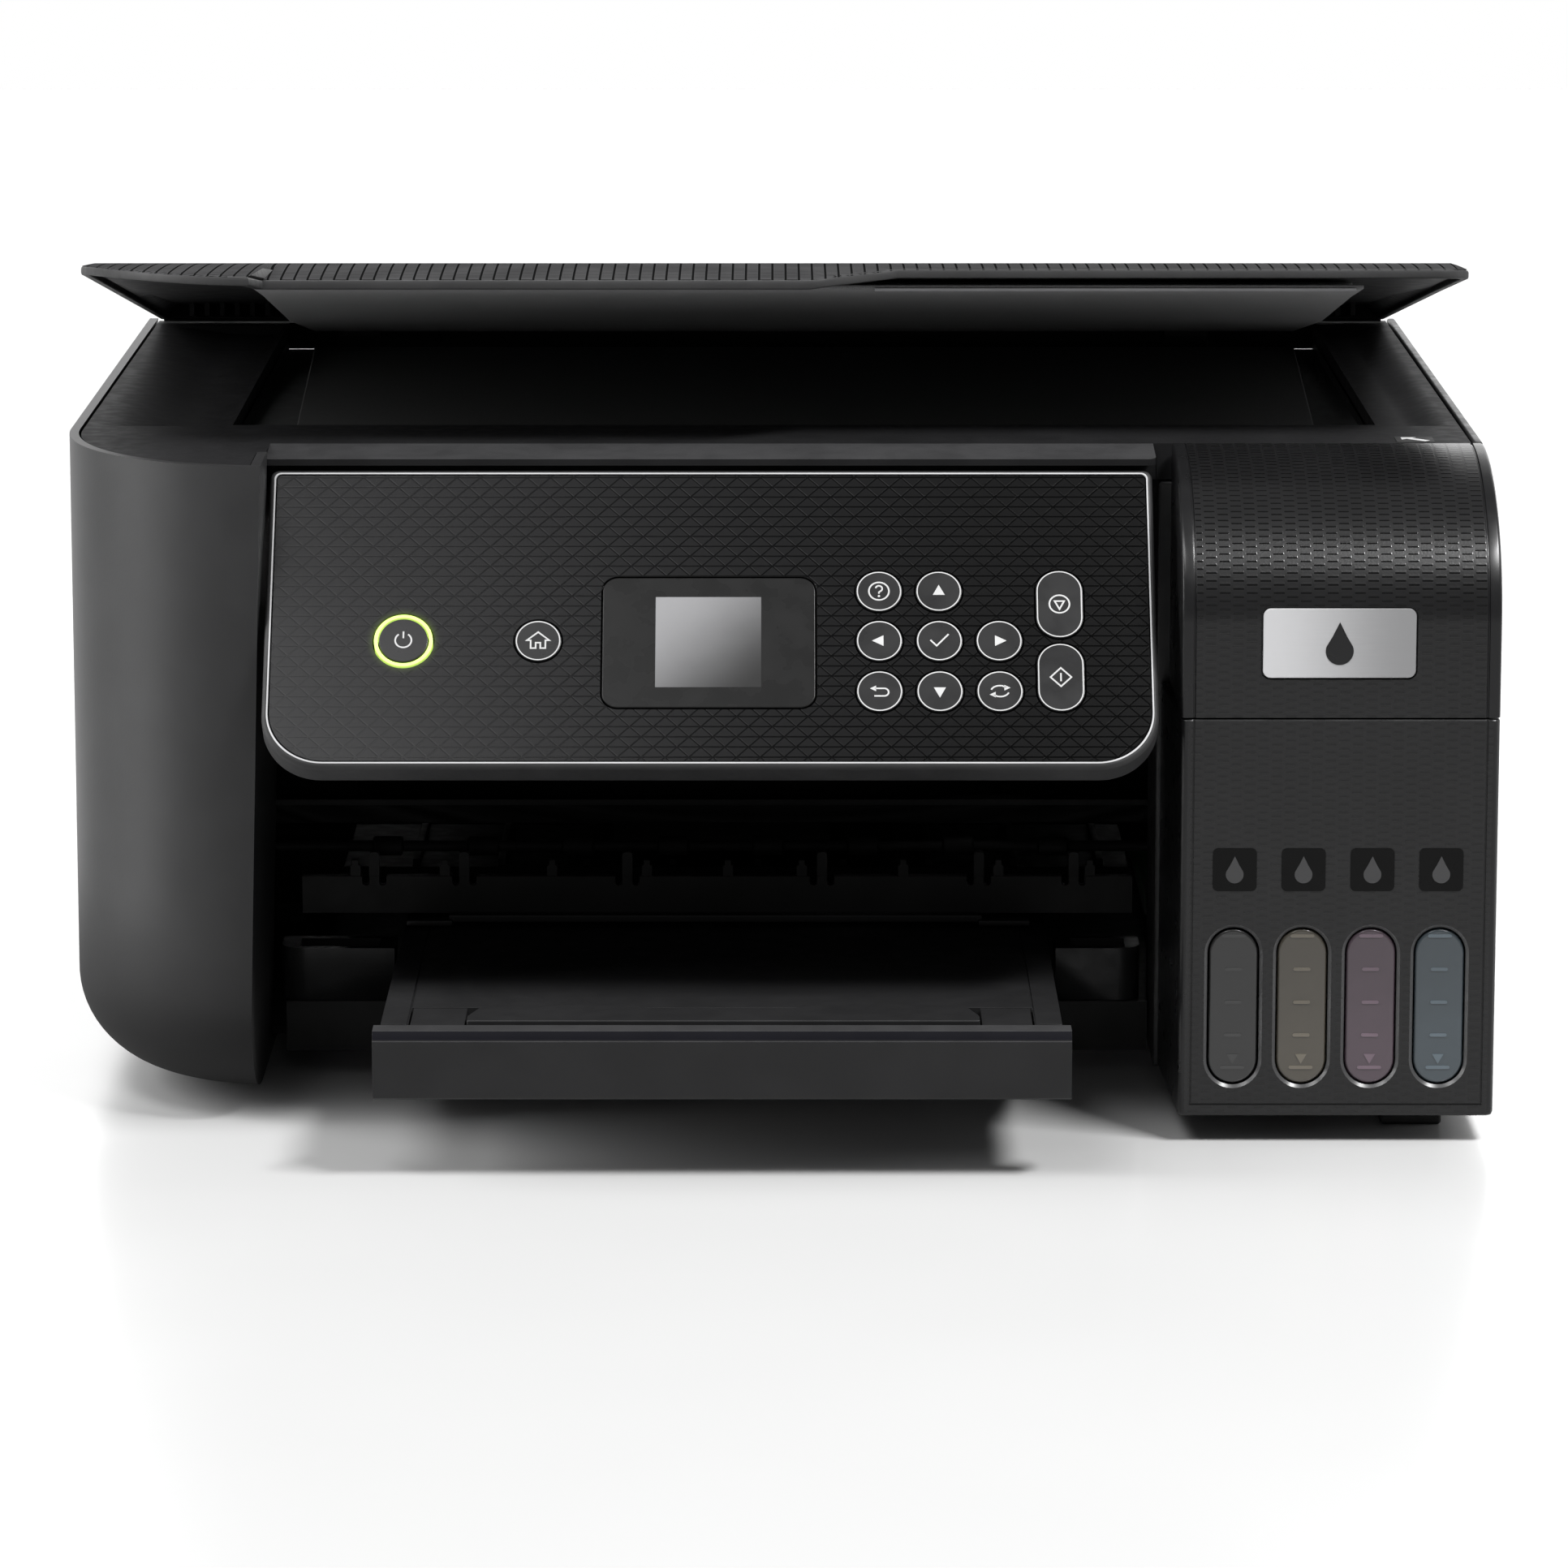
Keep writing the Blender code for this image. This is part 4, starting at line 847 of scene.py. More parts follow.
def make_tank_housing():
    left, right, front, rear = COVER.x0, TANK.x1, TANK.y0, TANK.y1
    turn = 1.8
    corner = [(left + turn, front + turn), (right - turn, front + turn)]
    plan = arc(corner[0], (turn, turn), 180, 270, 6) + arc(corner[1], (turn, turn), 270, 360, 6)
    plan += [(right, rear), (TANK.x0, rear)]
    stack = ((TANK.z0, 1.2), (TANK.z0 + 0.35, 0.35), (TANK.z0 + 1.2, 0.0))
    stack += ((TANK.z1 - 0.4, 0.0), (TANK.z1, 0.4))
    rings = [[(x, y, z) for x, y in (offset(plan, inset) if inset else plan)] for z, inset in stack]
    housing = add("fine_tank_housing", loft(rings), LOOKS["tank"])
    cut(housing, block(left + 2.4, right - 2.4, front + 2.4, rear - 2.2, TANK.z0 + 2.2, TANK.z1 + 9))
    middle = (WINDOW.z0 + WINDOW.z1) / 2
    half = (WINDOW.z1 - WINDOW.z0) / 2
    windows = []
    for x in TANK_CENTRES:
        flare = ((front - 0.3, 1.1), (front + 0.8, 0.0), (front + 6, 0.0))
        rings = [obround((x, middle), WINDOW.x1 + more, half + more) for _, more in flare]
        windows.append(loft([[(px, y, pz) for px, pz in ring] for ring, (y, _) in zip(rings, flare)]))
    cut(housing, *windows)
    width, depth = GROOVE
    foot = TANK.z0 + 3.6
    for x in (left + RIM_BAND, right - RIM_BAND):
        cut(housing, block(x - width / 2, x + width / 2, front - 2, front + depth, foot, TANK.z1 + 2))
    span = (left + RIM_BAND - width / 2, right - RIM_BAND + width / 2)
    cut(housing, block(*span, front - 2, front + depth, foot - width, foot + 0.01))
    unroll(housing, lambda p: (p.x, p.z))
    soften(housing, 0.25, 2, 40)
    on_front = lambda c, n: n.y < -0.95 and in_relief(c, foot) and c.y < front + 0.1
    paint_faces(housing, LOOKS["tank_relief"], on_front)
    # Painted highlight: the sloping chamfers round the windows get a much lighter plastic.
    on_rim_highlights = lambda c, n: -0.9 < n.y < -0.3 and left + 5 < c.x < right - 5 and 14 < c.z < 60
    paint_faces(housing, LOOKS["rim"], on_rim_highlights)
    smooth(housing, 24)
    place(housing, "chassis", "tank_case_plastic", "tank_housing")


def droplet(centre, radius):
    """A plain teardrop outline with its tip up."""
    x, z = centre
    belly = arc(centre, (radius, radius), -200, 20, 24)
    side, shoulder = radius * 0.52, z + radius * 1.05
    return belly + [(x + side, shoulder), (x, z + radius * 2.1), (x - side, shoulder)]


def make_tiles():
    """Smooth square fields over the windows, each with a plain drop on it."""
    half, low, high = TILE
    fields = []
    drops = []
    for x in TANK_CENTRES:
        field = rounded(x - half, x + half, low, high, (1.4,) * 4)
        fields.append(prism("Y", field, TANK.y0 - 0.18, TANK.y0 + 0.1))
        drops.append(prism("Y", droplet((x, low + 4.4), 2.3), TANK.y0 - 0.26, TANK.y0 - 0.12))
    for name, solids, look in (("tank_fields", fields, "tile"), ("tank_drops", drops, "faint_print")):
        piece = add(name, several(solids), LOOKS[look])
        dress(piece, "chassis", "tank_case_plastic")


def make_tank(ink, colour):
    node = f"ink_tank_{ink}"
    tank = Box(node)
    look = tank_wall(f"ink_{ink}", colour)
    middle = (WINDOW.z0 + WINDOW.z1) / 2
    half = (WINDOW.z1 - WINDOW.z0) / 2 - 0.4
    body = add(f"fine_{node}", block(tank.x0, tank.x1, tank.y0 + 2.7, tank.y1, tank.z0, 107), look)
    join(body, prism("Y", obround((tank.x, middle), WINDOW.x1 - 0.4, half), tank.y0, tank.y0 + 4))
    join(body, rod("Z", (tank.x, TANK.y0 + 24), 5.5, 106, tank.z1))
    cut(body, rod("Z", (tank.x, TANK.y0 + 24), 3.4, 108, tank.z1 + 4))
    dress(body, "chassis", f"ink_{ink}", node, width=0.8, segments=3)
    height = WINDOW.z1 - WINDOW.z0
    marks = []
    for share, half_width in ((0.054, 3.1), (0.265, 2.2), (0.474, 2.2), (0.683, 2.2), (0.889, 3.1)):
        z = WINDOW.z1 - share * height
        shape = rounded(tank.x - half_width, tank.x + half_width, z - 0.45, z + 0.45, (0.44,) * 4, 4)
        marks.append(prism("Y", shape, tank.y0 - 0.15, tank.y0 + 0.1))
    z = WINDOW.z1 - 0.835 * height
    arrow = [(tank.x - 1.5, z + 1.3), (tank.x + 1.5, z + 1.3), (tank.x, z - 1.3)]
    marks.append(prism("Y", arrow, tank.y0 - 0.15, tank.y0 + 0.1))
    lines = add(f"level_marks_{ink}", several(marks), tank_wall(f"mark_{ink}", tone(colour, 2.1)))
    dress(lines, "chassis", f"ink_{ink}")
    refine(f"tank_cap_{ink}", LOOKS["rubber"], 0.4)


def cover_profile(inset, low, back):
    """The tank cover's side view: an upright front that curves back to the rim."""
    depth = COVER_REAR - 0.2
    radii = (depth + 0.4 - inset, COVER.z1 - COVER_KNEE - inset)
    curve = arc((TANK.y0 + depth + 0.4, COVER_KNEE), radii, 180, 92, 48)
    return [(TANK.y0 + inset, low)] + curve + back


def cover_length(z):
    """Height on the upright front, and the way along the curve above it."""
    if z <= COVER_KNEE:
        return z
    radii = (COVER_REAR + 0.2, COVER.z1 - COVER_KNEE)
    share = min(1.0, max(0.0, (z - COVER_KNEE) / radii[1]))
    end = math.asin(share)
    steps = 24
    length = 0.0
    for k in range(steps):
        t = end * (k + 0.5) / steps
        length += math.hypot(radii[0] * math.sin(t), radii[1] * math.cos(t)) * end / steps
    return COVER_KNEE + length


def make_tank_cover():
    rear = COVER.y1
    low = COVER.z0
    width, depth = GROOVE
    border = RIM_BAND - width / 2
    across = [(0.0, 1.0), (0.3, 0.3), (1.0, 0.0), (border, 0.0), (border + 0.05, depth)]
    across += [(border + width, depth), (border + width + 0.1, 0.04)]
    stations = [(COVER.x0 + x, inset) for x, inset in across]
    stations += [(COVER.x1 - x, inset) for x, inset in reversed(across)]
    rings = []
    for x, inset in stations:
        back = [(rear - 1.1, COVER.z1 - inset), (rear, COVER.z1 - 1.4 - inset), (rear, low)]
        rings.append([(x, y, z) for y, z in cover_profile(inset, low, back)])
    cover = add("fine_tank_cover", loft(rings), LOOKS["tank"])
    inner = cover_profile(WALL, low - 20, [(rear + 9, COVER.z1 - WALL), (rear + 9, low - 20)])
    cut(cover, prism("X", inner, COVER.x0 + WALL, COVER.x1 - WALL))
    pocket = rounded(BADGE.x0 - 0.4, BADGE.x1 + 0.4, BADGE.z0 - 0.4, BADGE.z1 + 0.4, (2.4,) * 4)
    cut(cover, prism("Y", pocket, TANK.y0 - 5, TANK.y0 + 1.2))
    unroll(cover, lambda p: (p.x, cover_length(p.z)))
    soften(cover, 0.3, 2, 40)
    outside = lambda c, n: (n.y < -0.3 or n.z > 0.3) and in_relief(c) and abs(n.x) < 0.2 and c.y < rear - 1.5
    paint_faces(cover, LOOKS["tank_relief"], lambda c, n: outside(c, n) and on_cover_skin(c))
    smooth(cover)
    place(cover, "tank_cover", "tank_case_plastic", "tank_cover")
    outline = rounded(BADGE.x0, BADGE.x1, BADGE.z0, BADGE.z1, (2.0,) * 4)
    plate = add("fine_tank_badge", prism("Y", outline, BADGE.y0, BADGE.y1), LOOKS["badge"])
    dress(plate, "tank_cover", "badge_silver", "tank_badge", width=0.25)
    drop = prism("Y", droplet((BADGE.x, BADGE.z - 2.0), 3.6), BADGE.y0 - 0.08, BADGE.y0 + 0.05)
    emblem = add("badge_drop", drop, LOOKS["gloss"])
    dress(emblem, "tank_cover", "badge_silver")


def on_cover_skin(c):
    """Whether a point is on the outer skin of the cover and not on its inner wall."""
    if c.z <= COVER_KNEE:
        return c.y < TANK.y0 + 0.2
    radii = (COVER_REAR + 0.2, COVER.z1 - COVER_KNEE)
    reach = ((c.y - TANK.y0 - radii[0]) / radii[0]) ** 2 + ((c.z - COVER_KNEE) / radii[1]) ** 2
    return reach > 0.985


# Scanner

SCANNER_STEP = 100.4
BAR_RIGHT = 101.4
LUG_X = 124


def scanner_plan():
    """Plan of the scanner unit: it fills the big corner, steps back behind the panel and the tanks."""
    side = -SCANNER.x0
    front = SCANNER.y0
    radii = (CASE.x1 + side, CASE.y0 + CORNER_DEPTH - front)
    left = CASE.x1 - 2.9
    end = math.degrees(math.acos((CASE.x1 - left) / radii[0]))
    corner = arc((CASE.x1, CASE.y0 + CORNER_DEPTH), radii, 180, 180 + end, 48)
    ledge = TANK.y0 + 40
    turn = 2.5
    steps = [(left, ledge)]
    steps += arc((SCANNER_STEP - turn, ledge + turn), (turn, turn), 270, 360, 6)
    steps += [(SCANNER_STEP, TANK.y0 + 57.8)]
    return [(-side, SCANNER.y1)] + corner + steps + [(side, TANK.y0 + 57.8), (side, SCANNER.y1)]


def dish(x_edge, x_deep, x_lip, depth, y0, y1):
    """A hollow along Y whose floor falls from an edge, runs level and ends at a lip."""
    top = SCANNER.z1
    profile = []
    for k in range(13):
        t = k / 12
        ease = t * t * (3 - 2 * t)
        profile.append((x_edge + (x_deep - x_edge) * t, top - depth * ease))
    profile += [(x_lip, top - depth - 0.2), (x_lip, top + 6), (x_edge, top + 6)]
    return prism("Y", profile, y0, y1)


def make_scanner():
    x0, x1, y0, y1 = GLASS.x0 - 0.4, GLASS.x1 + 0.4, GLASS.y0 - 0.4, GLASS.y1 + 0.4
    bed = GLASS.z0 - 0.3
    scanner = add("fine_scanner_frame", prism("Z", scanner_plan(), SCANNER.z0, SCANNER.z1), LOOKS["bezel"])
    cut(scanner, block(x0, x1, y0, y1, bed, SCANNER.z1 + 5))
    cut(scanner, block(x0 + 4, x1 - 4, y0 + 4, y1 - 4, SCANNER.z0 - 5, bed + 1))
    cut(scanner, block(CASE.x1 - 3.3, BAR_RIGHT, TANK.y0 + 38, TANK.y0 + 58, SCANNER.z0 - 5, 172.2))
    for x in (-LUG_X, LUG_X):
        cut(scanner, block(x - 6.7, x + 6.7, TANK.y0 + 312, TANK.y0 + 320.9, 169.4, SCANNER.z1 + 5))
    cut(scanner, dish(SCANNER.x0 + 2.6, x0 - 12, x0 - 1.4, 2.6, y0 - 2, y1 - 8))
    cut(scanner, dish(SCANNER.x1 - 2.6, x1 + 9, x1 + 1.4, 2.2, y0 - 2, y1 - 8))
    for k in range(2):
        y = y1 + 0.8 + 1.5 * k
        cut(scanner, block(x0 + 2, x1 - 2, y, y + 0.5, SCANNER.z1 - 0.8, SCANNER.z1 + 3))
    near, far, top = TANK.y0 + 38, TANK.y0 + 57.2, SCANNER.z1
    wedge = [(far, top), (near, top - 1.9), (near, top + 5), (far, top + 5)]
    cut(scanner, prism("X", wedge, CASE.x1 - 0.5, BAR_RIGHT))
    rear = SCANNER.y1
    join(scanner, block(-183, 183, rear - 0.5, rear, SCANNER.z1 - 2, SCANNER.z1 + 0.8))
    soften(scanner, 0.7, 3, 40)
    smooth(scanner)
    # Painted light: the bar's upward faces get the lighter plastic.
    on_bar = lambda c, n: n.z > 0.5 and c.y < TANK.y0 + 57.5 and CASE.x1 - 1 < c.x < 101
    paint_faces(scanner, LOOKS["ledge"], on_bar)
    place(scanner, "scanner", "case_plastic", "scanner_frame")
    refine("scanner_tub", LOOKS["inner"], 0.4)
    refine("scan_bar", LOOKS["inner"], 0.5)
    refine("platen_glass", LOOKS["glass"], 0.25)
    make_arrow_label()


def make_arrow_label():
    """A small dark field with a plain corner arrow, by the bed's front right corner."""
    x, y, z = 170.0, TANK.y0 + 64.5, SCANNER.z1
    field = add("corner_field", block(x - 5, x + 5, y - 5, y + 5, z - 0.1, z + 0.12), LOOKS["inner"])
    dress(field, "scanner", "case_plastic")
    tip = [(x - 3.4, y + 3.4), (x - 3.4, y - 0.6), (x - 2.1, y + 0.7), (x + 2.4, y - 3.8)]
    tip += [(x + 3.8, y - 2.4), (x - 0.7, y + 2.1), (x + 0.6, y + 3.4)]
    arrow = add("corner_arrow", prism("Z", tip, z + 0.08, z + 0.2), LOOKS["print"])
    dress(arrow, "scanner", "case_plastic")


# Lid


def lid_plan():
    """Plan of the closed lid's edge, from its rear left corner round the front."""
    radii = (LID_SIDE + CASE.x1, CORNER_DEPTH - 3.6)
    points = [(-LID_SIDE, LID_REAR), (-LID_SIDE, LID_REAR - 100), (-LID_SIDE, LID_REAR - 180)]
    points += arc((CASE.x1, CASE.y0 + CORNER_DEPTH), radii, 180, 267, 42)
    points += [(CASE.x1 - 0.9, LID_FRONT)]
    points += [(CASE.x1 + 20 * k, LID_FRONT) for k in range(1, 7)]
    for k in range(17):
        t = k / 16
        ease = t * t * (3 - 2 * t)
        x = LID_STEP[0] + (LID_STEP[1] - LID_STEP[0]) * t
        points.append((x, LID_FRONT + (LID_FRONT_RIGHT - LID_FRONT) * ease))
    points += [(x, LID_FRONT_RIGHT) for x in (60, 90, 120, 150)]
    points += arc((LID_SIDE - 9, LID_FRONT_RIGHT + 9), (9, 9), 270, 360, 12)
    points += [(LID_SIDE, LID_REAR - 180), (LID_SIDE, LID_REAR - 100), (LID_SIDE, LID_REAR)]
    return points


def lid_lift(x, y):
    """How much higher the lid's edge runs at its left corner and along its right, less towards the hinge."""
    reach = (LID_REAR - y) / (LID_REAR - CASE.y0 - CORNER_DEPTH)
    left = min(1.0, max(0.0, (CASE.x1 - x) / (LID_SIDE + CASE.x1)))
    right = min(1.0, max(0.0, (x - LID_STEP[0]) / (LID_STEP[1] - LID_STEP[0])))
    return min(1.0, max(0.0, reach)) * (LID_LIFTS[0] * left * left + LID_LIFTS[1] * right)


def lid_edge(plan, inset, rise):
    """One ring near the lid's edge, drawn in by inset and raised by rise."""
    inner = offset(plan, inset) if inset else plan
    return [(x, y, LID_BOTTOM + lid_lift(px, py) + rise) for (x, y), (px, py) in zip(inner, plan)]


def lid_slope(plan, share, inset=0.0, drop=0.0):
    """A ring on the slope between the rim and the crest."""
    ring = []
    for x, y in plan:
        front = y < LID_CREST + 20
        crest_x = x * (1 - (inset + 3.5) / LID_SIDE)
        crest_y = max(y, LID_CREST) + inset if front else y - inset - 1.5
        base_x = x * (1 - inset / LID_SIDE)
        base_y = y + inset if front else y - inset
        rise = math.sin(share * math.pi / 2) if front else share
        rim = LID_BOTTOM + lid_lift(x, y) + LID_RIM
        z = rim + (LID_TOP - rim) * (0.35 * rise + 0.65 * share) - drop
        ring.append((base_x + (crest_x - base_x) * share, base_y + (crest_y - base_y) * share, z))
    return ring


def make_lid():
    plan = lid_plan()
    rings = [lid_slope(plan, 1.0, 3.0, 4.0)]
    inside = ((2.9, LID_RIM - 1.0), (2.4, LID_RIM - 1.6), (2.4, 0.3), (2.1, 0.0), (0.6, 0.0), (0.17, 0.17))
    outside = ((0.0, 0.6), (0.0, LID_RIM - 0.7), (0.2, LID_RIM - 0.2), (0.7, LID_RIM))
    seam = ((1.1, LID_RIM), (1.2, LID_RIM - 0.35), (1.5, LID_RIM - 0.35))
    rings += [lid_edge(plan, inset, rise) for inset, rise in inside + outside + seam]
    shares = (0.08, 0.2, 0.35, 0.5, 0.65, 0.8, 0.9, 0.97, 1.0)
    rings += [lid_slope(plan, share) for share in shares]
    lid = add("fine_lid", loft(rings), LOOKS["lid"])
    ribs = []
    for side in (-1, 1):
        x = side * LUG_X
        join(lid, block(x - 6.3, x + 6.3, TANK.y0 + 317.6, TANK.y0 + 320.5, 171.0, 181))
        for k in range(6):
            x = side * (150 + 4.5 * k)
            ribs.append(block(x - 0.7, x + 0.7, TANK.y0 + 296, TANK.y0 + 316, 176.8, 181.5))
    join(lid, several(ribs))
    unroll(lid, lambda p: (p.x, p.y))
    soften(lid, 0.3, 2, 50)
    # Painted reflection: the upward faces take the lighter relief look.
    paint_faces(lid, LOOKS["lid_relief_painted_reflection"], lambda c, n: n.z > 0.6 and c.z > LID_BOTTOM + LID_RIM + 0.05)
    smooth(lid)
    lid.data.transform(AT_LID)
    place(lid, "lid", "case_plastic", "lid")
    make_pad()


def make_pad():
    """The foam pad that presses the sheet, and a thin light grey block in front of it, a painted highlight
    along the pad's front edge.
    """
    x0, x1 = PAD.x0, PAD.x1
    side = [(62, 178.2), (62, 176.9), (97, 176.2), (200, 172.4), (309, 172.4)]
    side += [(309, 180.1), (98, 180.1), (98, 178.2)]
    profile = [(TANK.y0 + y, z) for y, z in side]
    mat = add("fine_document_pad", prism("X", profile, x0, x1), LOOKS["pad"])
    soften(mat, 0.5, 3, 40)
    smooth(mat)
    mat.data.transform(AT_LID)
    place(mat, "lid", "pad_foam", "document_pad")
    # Painted highlight: a thin light grey block where the pad's front edge catches the light.
    edge = block(x0 + 164, x1 - 2, TANK.y0 + 61.6, TANK.y0 + 62.1, 176.5, 177.2)
    painted_highlight = add("pad_edge", edge, LOOKS["painted_highlight"])
    painted_highlight.data.transform(AT_LID)
    dress(painted_highlight, "lid", "pad_foam")


# Control panel


def panel_plan(inset):
    low, high = PANEL_CORNERS
    low, high = low - inset * 0.6, max(0.6, high - inset * 0.6)
    x0, x1 = PANEL.x0 + inset, PANEL.x1 - inset
    z0, z1 = PANEL.z0 + inset, PANEL.z1 - inset
    return rounded(x0, x1, z0, z1, (low, low, high, high), 20)


def key_outlines():
    """Each key's name and outline in the panel's plane."""
    grid = (("help", 0, 0), ("up", 1, 0), ("left", 0, 1), ("ok", 1, 1), ("right", 2, 1))
    grid += (("back", 0, 2), ("down", 1, 2), ("swap", 2, 2))
    keys = {"power": circle(key_spot(*POWER), 6.3), "home": circle(key_spot(*HOME), BUTTON_RADIUS)}
    for name, column, row in grid:
        keys[name] = circle(key_spot(KEY_COLUMNS[column], KEY_ROWS[row]), BUTTON_RADIUS)
    for name, row in zip(("stop", "start"), OBROUND_ROWS):
        keys[name] = obround(key_spot(OBROUND_X, row), *OBROUND_HALF)
    return keys


def make_panel():
    front = -PANEL_HALF_DEPTH
    turns = [math.pi / 2 * k / 6 for k in range(7)]
    edge = [(front + 1.5 * (1 - math.cos(t)), 1.1 * (1 - math.sin(t))) for t in turns]
    turns = [math.pi / 2 * k / 5 for k in range(6)]
    back = [(-front - 2.5 * (1 - math.sin(t)), 2.5 * (1 - math.cos(t))) for t in turns]
    rings = [[along("Y", p, y) for p in panel_plan(inset)] for y, inset in edge + back]
    case = add("fine_panel_case", loft(rings), LOOKS["lid"])
    cut(case, prism("Y", panel_plan(FACE_INSET), front - 2, front + 1.5))
    keys = key_outlines()
    wells = {name: offset(outline, -0.4) for name, outline in keys.items()}
    wells["power"] = circle(key_spot(*POWER), POWER_RING[1] + 0.4)
    openings = [prism("Y", well, front - 4, 0.7) for well in wells.values()]
    x0, x1, top, bottom = SCREEN
    window = rounded(x0, x1, BUTTON_TOP - bottom, BUTTON_TOP - top, (4.0,) * 4)
    openings.append(prism("Y", offset(window, -0.4), front - 4, -1.0))
    cut(case, *openings)
    dress(case, "panel", "case_plastic", "panel_case", width=0.25, at=AT_PANEL)
    outer, inner = panel_plan(1.2), panel_plan(1.6)
    line = add("panel_line", frame_prism("Y", outer, inner, front - 0.12, front + 0.6), LOOKS["silver_line"])
    dress(line, "panel", "panel_gloss", at=AT_PANEL)
    face = add("fine_panel_face", prism("Y", panel_plan(FACE_INSET + 0.3), front, front + 1.2), LOOKS["face"])
    cut(face, *openings)
    dress(face, "panel", "panel_gloss", "panel_face", width=0.12, segments=1, at=AT_PANEL)
    screen = add("fine_panel_screen", prism("Y", window, front - 0.1, -1.4), LOOKS["screen"])
    dress(screen, "panel", "panel_gloss", "panel_screen", width=0.3, segments=3, at=AT_PANEL)
    lit_x0, lit_x1, lit_top, lit_bottom = LIT_SCREEN
    pane = block(lit_x0, lit_x1, front - 0.16, front - 0.05, BUTTON_TOP - lit_bottom, BUTTON_TOP - lit_top)
    display_pane = add("display_pane", pane, LOOKS["display"])
    dress(display_pane, "panel", "panel_gloss", at=AT_PANEL)
    spot = key_spot(*POWER)
    inner, outer = (circle(spot, radius, 64) for radius in POWER_RING)
    ring = frame_prism("Y", outer, inner, front - 0.2, front + 3)
    light = add("fine_power_ring", ring, LOOKS["ring"])
    dress(light, "panel", "light_guide", "power_ring", width=0.15, at=AT_PANEL)
    for name, outline in keys.items():
        make_key(name, outline)


def make_key(name, outline):
    """A key with its thin printed outline and its symbol, which move with it."""
    front = -PANEL_HALF_DEPTH - 0.2
    key = add(f"fine_{name}_button", prism("Y", outline, front, -0.6), LOOKS["gloss"])
    dress(key, f"{name}_button", "panel_gloss", f"{name}_button", width=0.25, at=AT_PANEL)
    middle = middle_of(outline)
    low, high = front - 0.07, front + 0.02
    nothing = lambda spot: []
    marks = [prism("Y", shape, low, high) for shape in SYMBOLS.get(name, nothing)(middle)]
    for path, closed in STROKES.get(name, nothing)(middle):
        marks.append(line_solid(path, SYMBOL_LINE, closed, low, high))
    if name != "power":
        marks.append(frame_prism("Y", offset(outline, 0.25), offset(outline, 0.55), low, high))
    print_piece = add(f"{name}_symbol", several(marks), LOOKS["print"])
    dress(print_piece, f"{name}_button", "panel_gloss", at=AT_PANEL)


SYMBOL_LINE = 0.42


def middle_of(outline):
    return sum(p[0] for p in outline) / len(outline), sum(p[1] for p in outline) / len(outline)


def line_solid(path, width, closed, low, high):
    """A thin solid along a path in the panel's plane."""
    left, right = stroke(path, width, closed)
    if closed:
        return frame_prism("Y", left, right, low, high)
    return prism("Y", left + right[::-1], low, high)


def around(spot, points):
    return [(spot[0] + x, spot[1] + z) for x, z in points]


def triangle(spot, turn, size=1.9):
    """A filled triangle that points to turn degrees."""
    corners = []
    for angle in (0, 125, 235):
        t = math.radians(turn + angle)
        corners.append((spot[0] + size * math.cos(t), spot[1] + size * math.sin(t)))
    return corners


# The filled and the drawn shapes of each key's symbol, from the key's middle

SYMBOLS = {
    "help": lambda s: [circle((s[0], s[1] - 1.45), 0.32, 12)],
    "up": lambda s: [triangle(s, 90)],
    "down": lambda s: [triangle(s, 270)],
    "left": lambda s: [triangle(s, 180)],
    "right": lambda s: [triangle(s, 0)],
    "back": lambda s: [triangle((s[0] - 1.5, s[1] + 0.8), 180, 1.0)],
    "swap": lambda s: [
        triangle((s[0] + 1.7, s[1] + 1.0), 0, 1.0),
        triangle((s[0] - 1.7, s[1] - 1.0), 180, 1.0),
    ],
}

STROKES = {
    "power": lambda s: [(arc(s, (2.1, 2.1), 125, 415, 30), False), (around(s, [(0, 0.6), (0, 2.6)]), False)],
    "home": lambda s: [
        (around(s, [(-2.9, 0.1), (0, 2.5), (2.9, 0.1), (1.9, 0.1), (1.9, -2.2), (0.6, -2.2), (0.6, -0.6),
                    (-0.6, -0.6), (-0.6, -2.2), (-1.9, -2.2), (-1.9, 0.1)]), True)
    ],
    "help": lambda s: [
        (circle(s, 2.6, 40), True),
        (arc((s[0], s[1] + 0.75), (0.85, 0.85), 170, -60, 14)
         + around(s, [(0.0, -0.3), (0.0, -0.75)]), False),
    ],
    "ok": lambda s: [(around(s, [(-2.3, 0.2), (-0.7, -1.5), (2.4, 1.9)]), False)],
    "back": lambda s: [
        (around(s, [(-1.2, 0.8), (1.2, 0.8)]) + arc((s[0] + 1.2, s[1] - 0.3), (1.1, 1.1), 90, -90, 12)
         + around(s, [(-1.4, -1.4)]), False)
    ],
    "swap": lambda s: [
        (arc((s[0], s[1]), (2.3, 1.6), 165, 75, 10) + around(s, [(1.6, 1.1)]), False),
        (arc((s[0], s[1]), (2.3, 1.6), -15, -105, 10) + around(s, [(-1.6, -1.1)]), False),
    ],
    "stop": lambda s: [(circle(s, 2.6, 40), True), (triangle(s, 270, 1.5), True)],
    "start": lambda s: [
        (around(s, [(-2.7, 0), (0, 2.7), (2.7, 0), (0, -2.7)]), True),
        (around(s, [(0, -1.2), (0, 1.2)]), False),
    ],
}


# Output tray


def make_tray():
    low, high = TRAY.z1 - 0.35, TRAY.z1 + 3
    seams = [block(x - 0.25, x + 0.25, LIP.y0, TRAY.y1 + 5, low, high) for x in (-93.1, 67.1)]
    refine("output_tray", LOOKS["tray"], 0.35, 2, cut_solids=seams)
    make_lip()
    make_stopper()


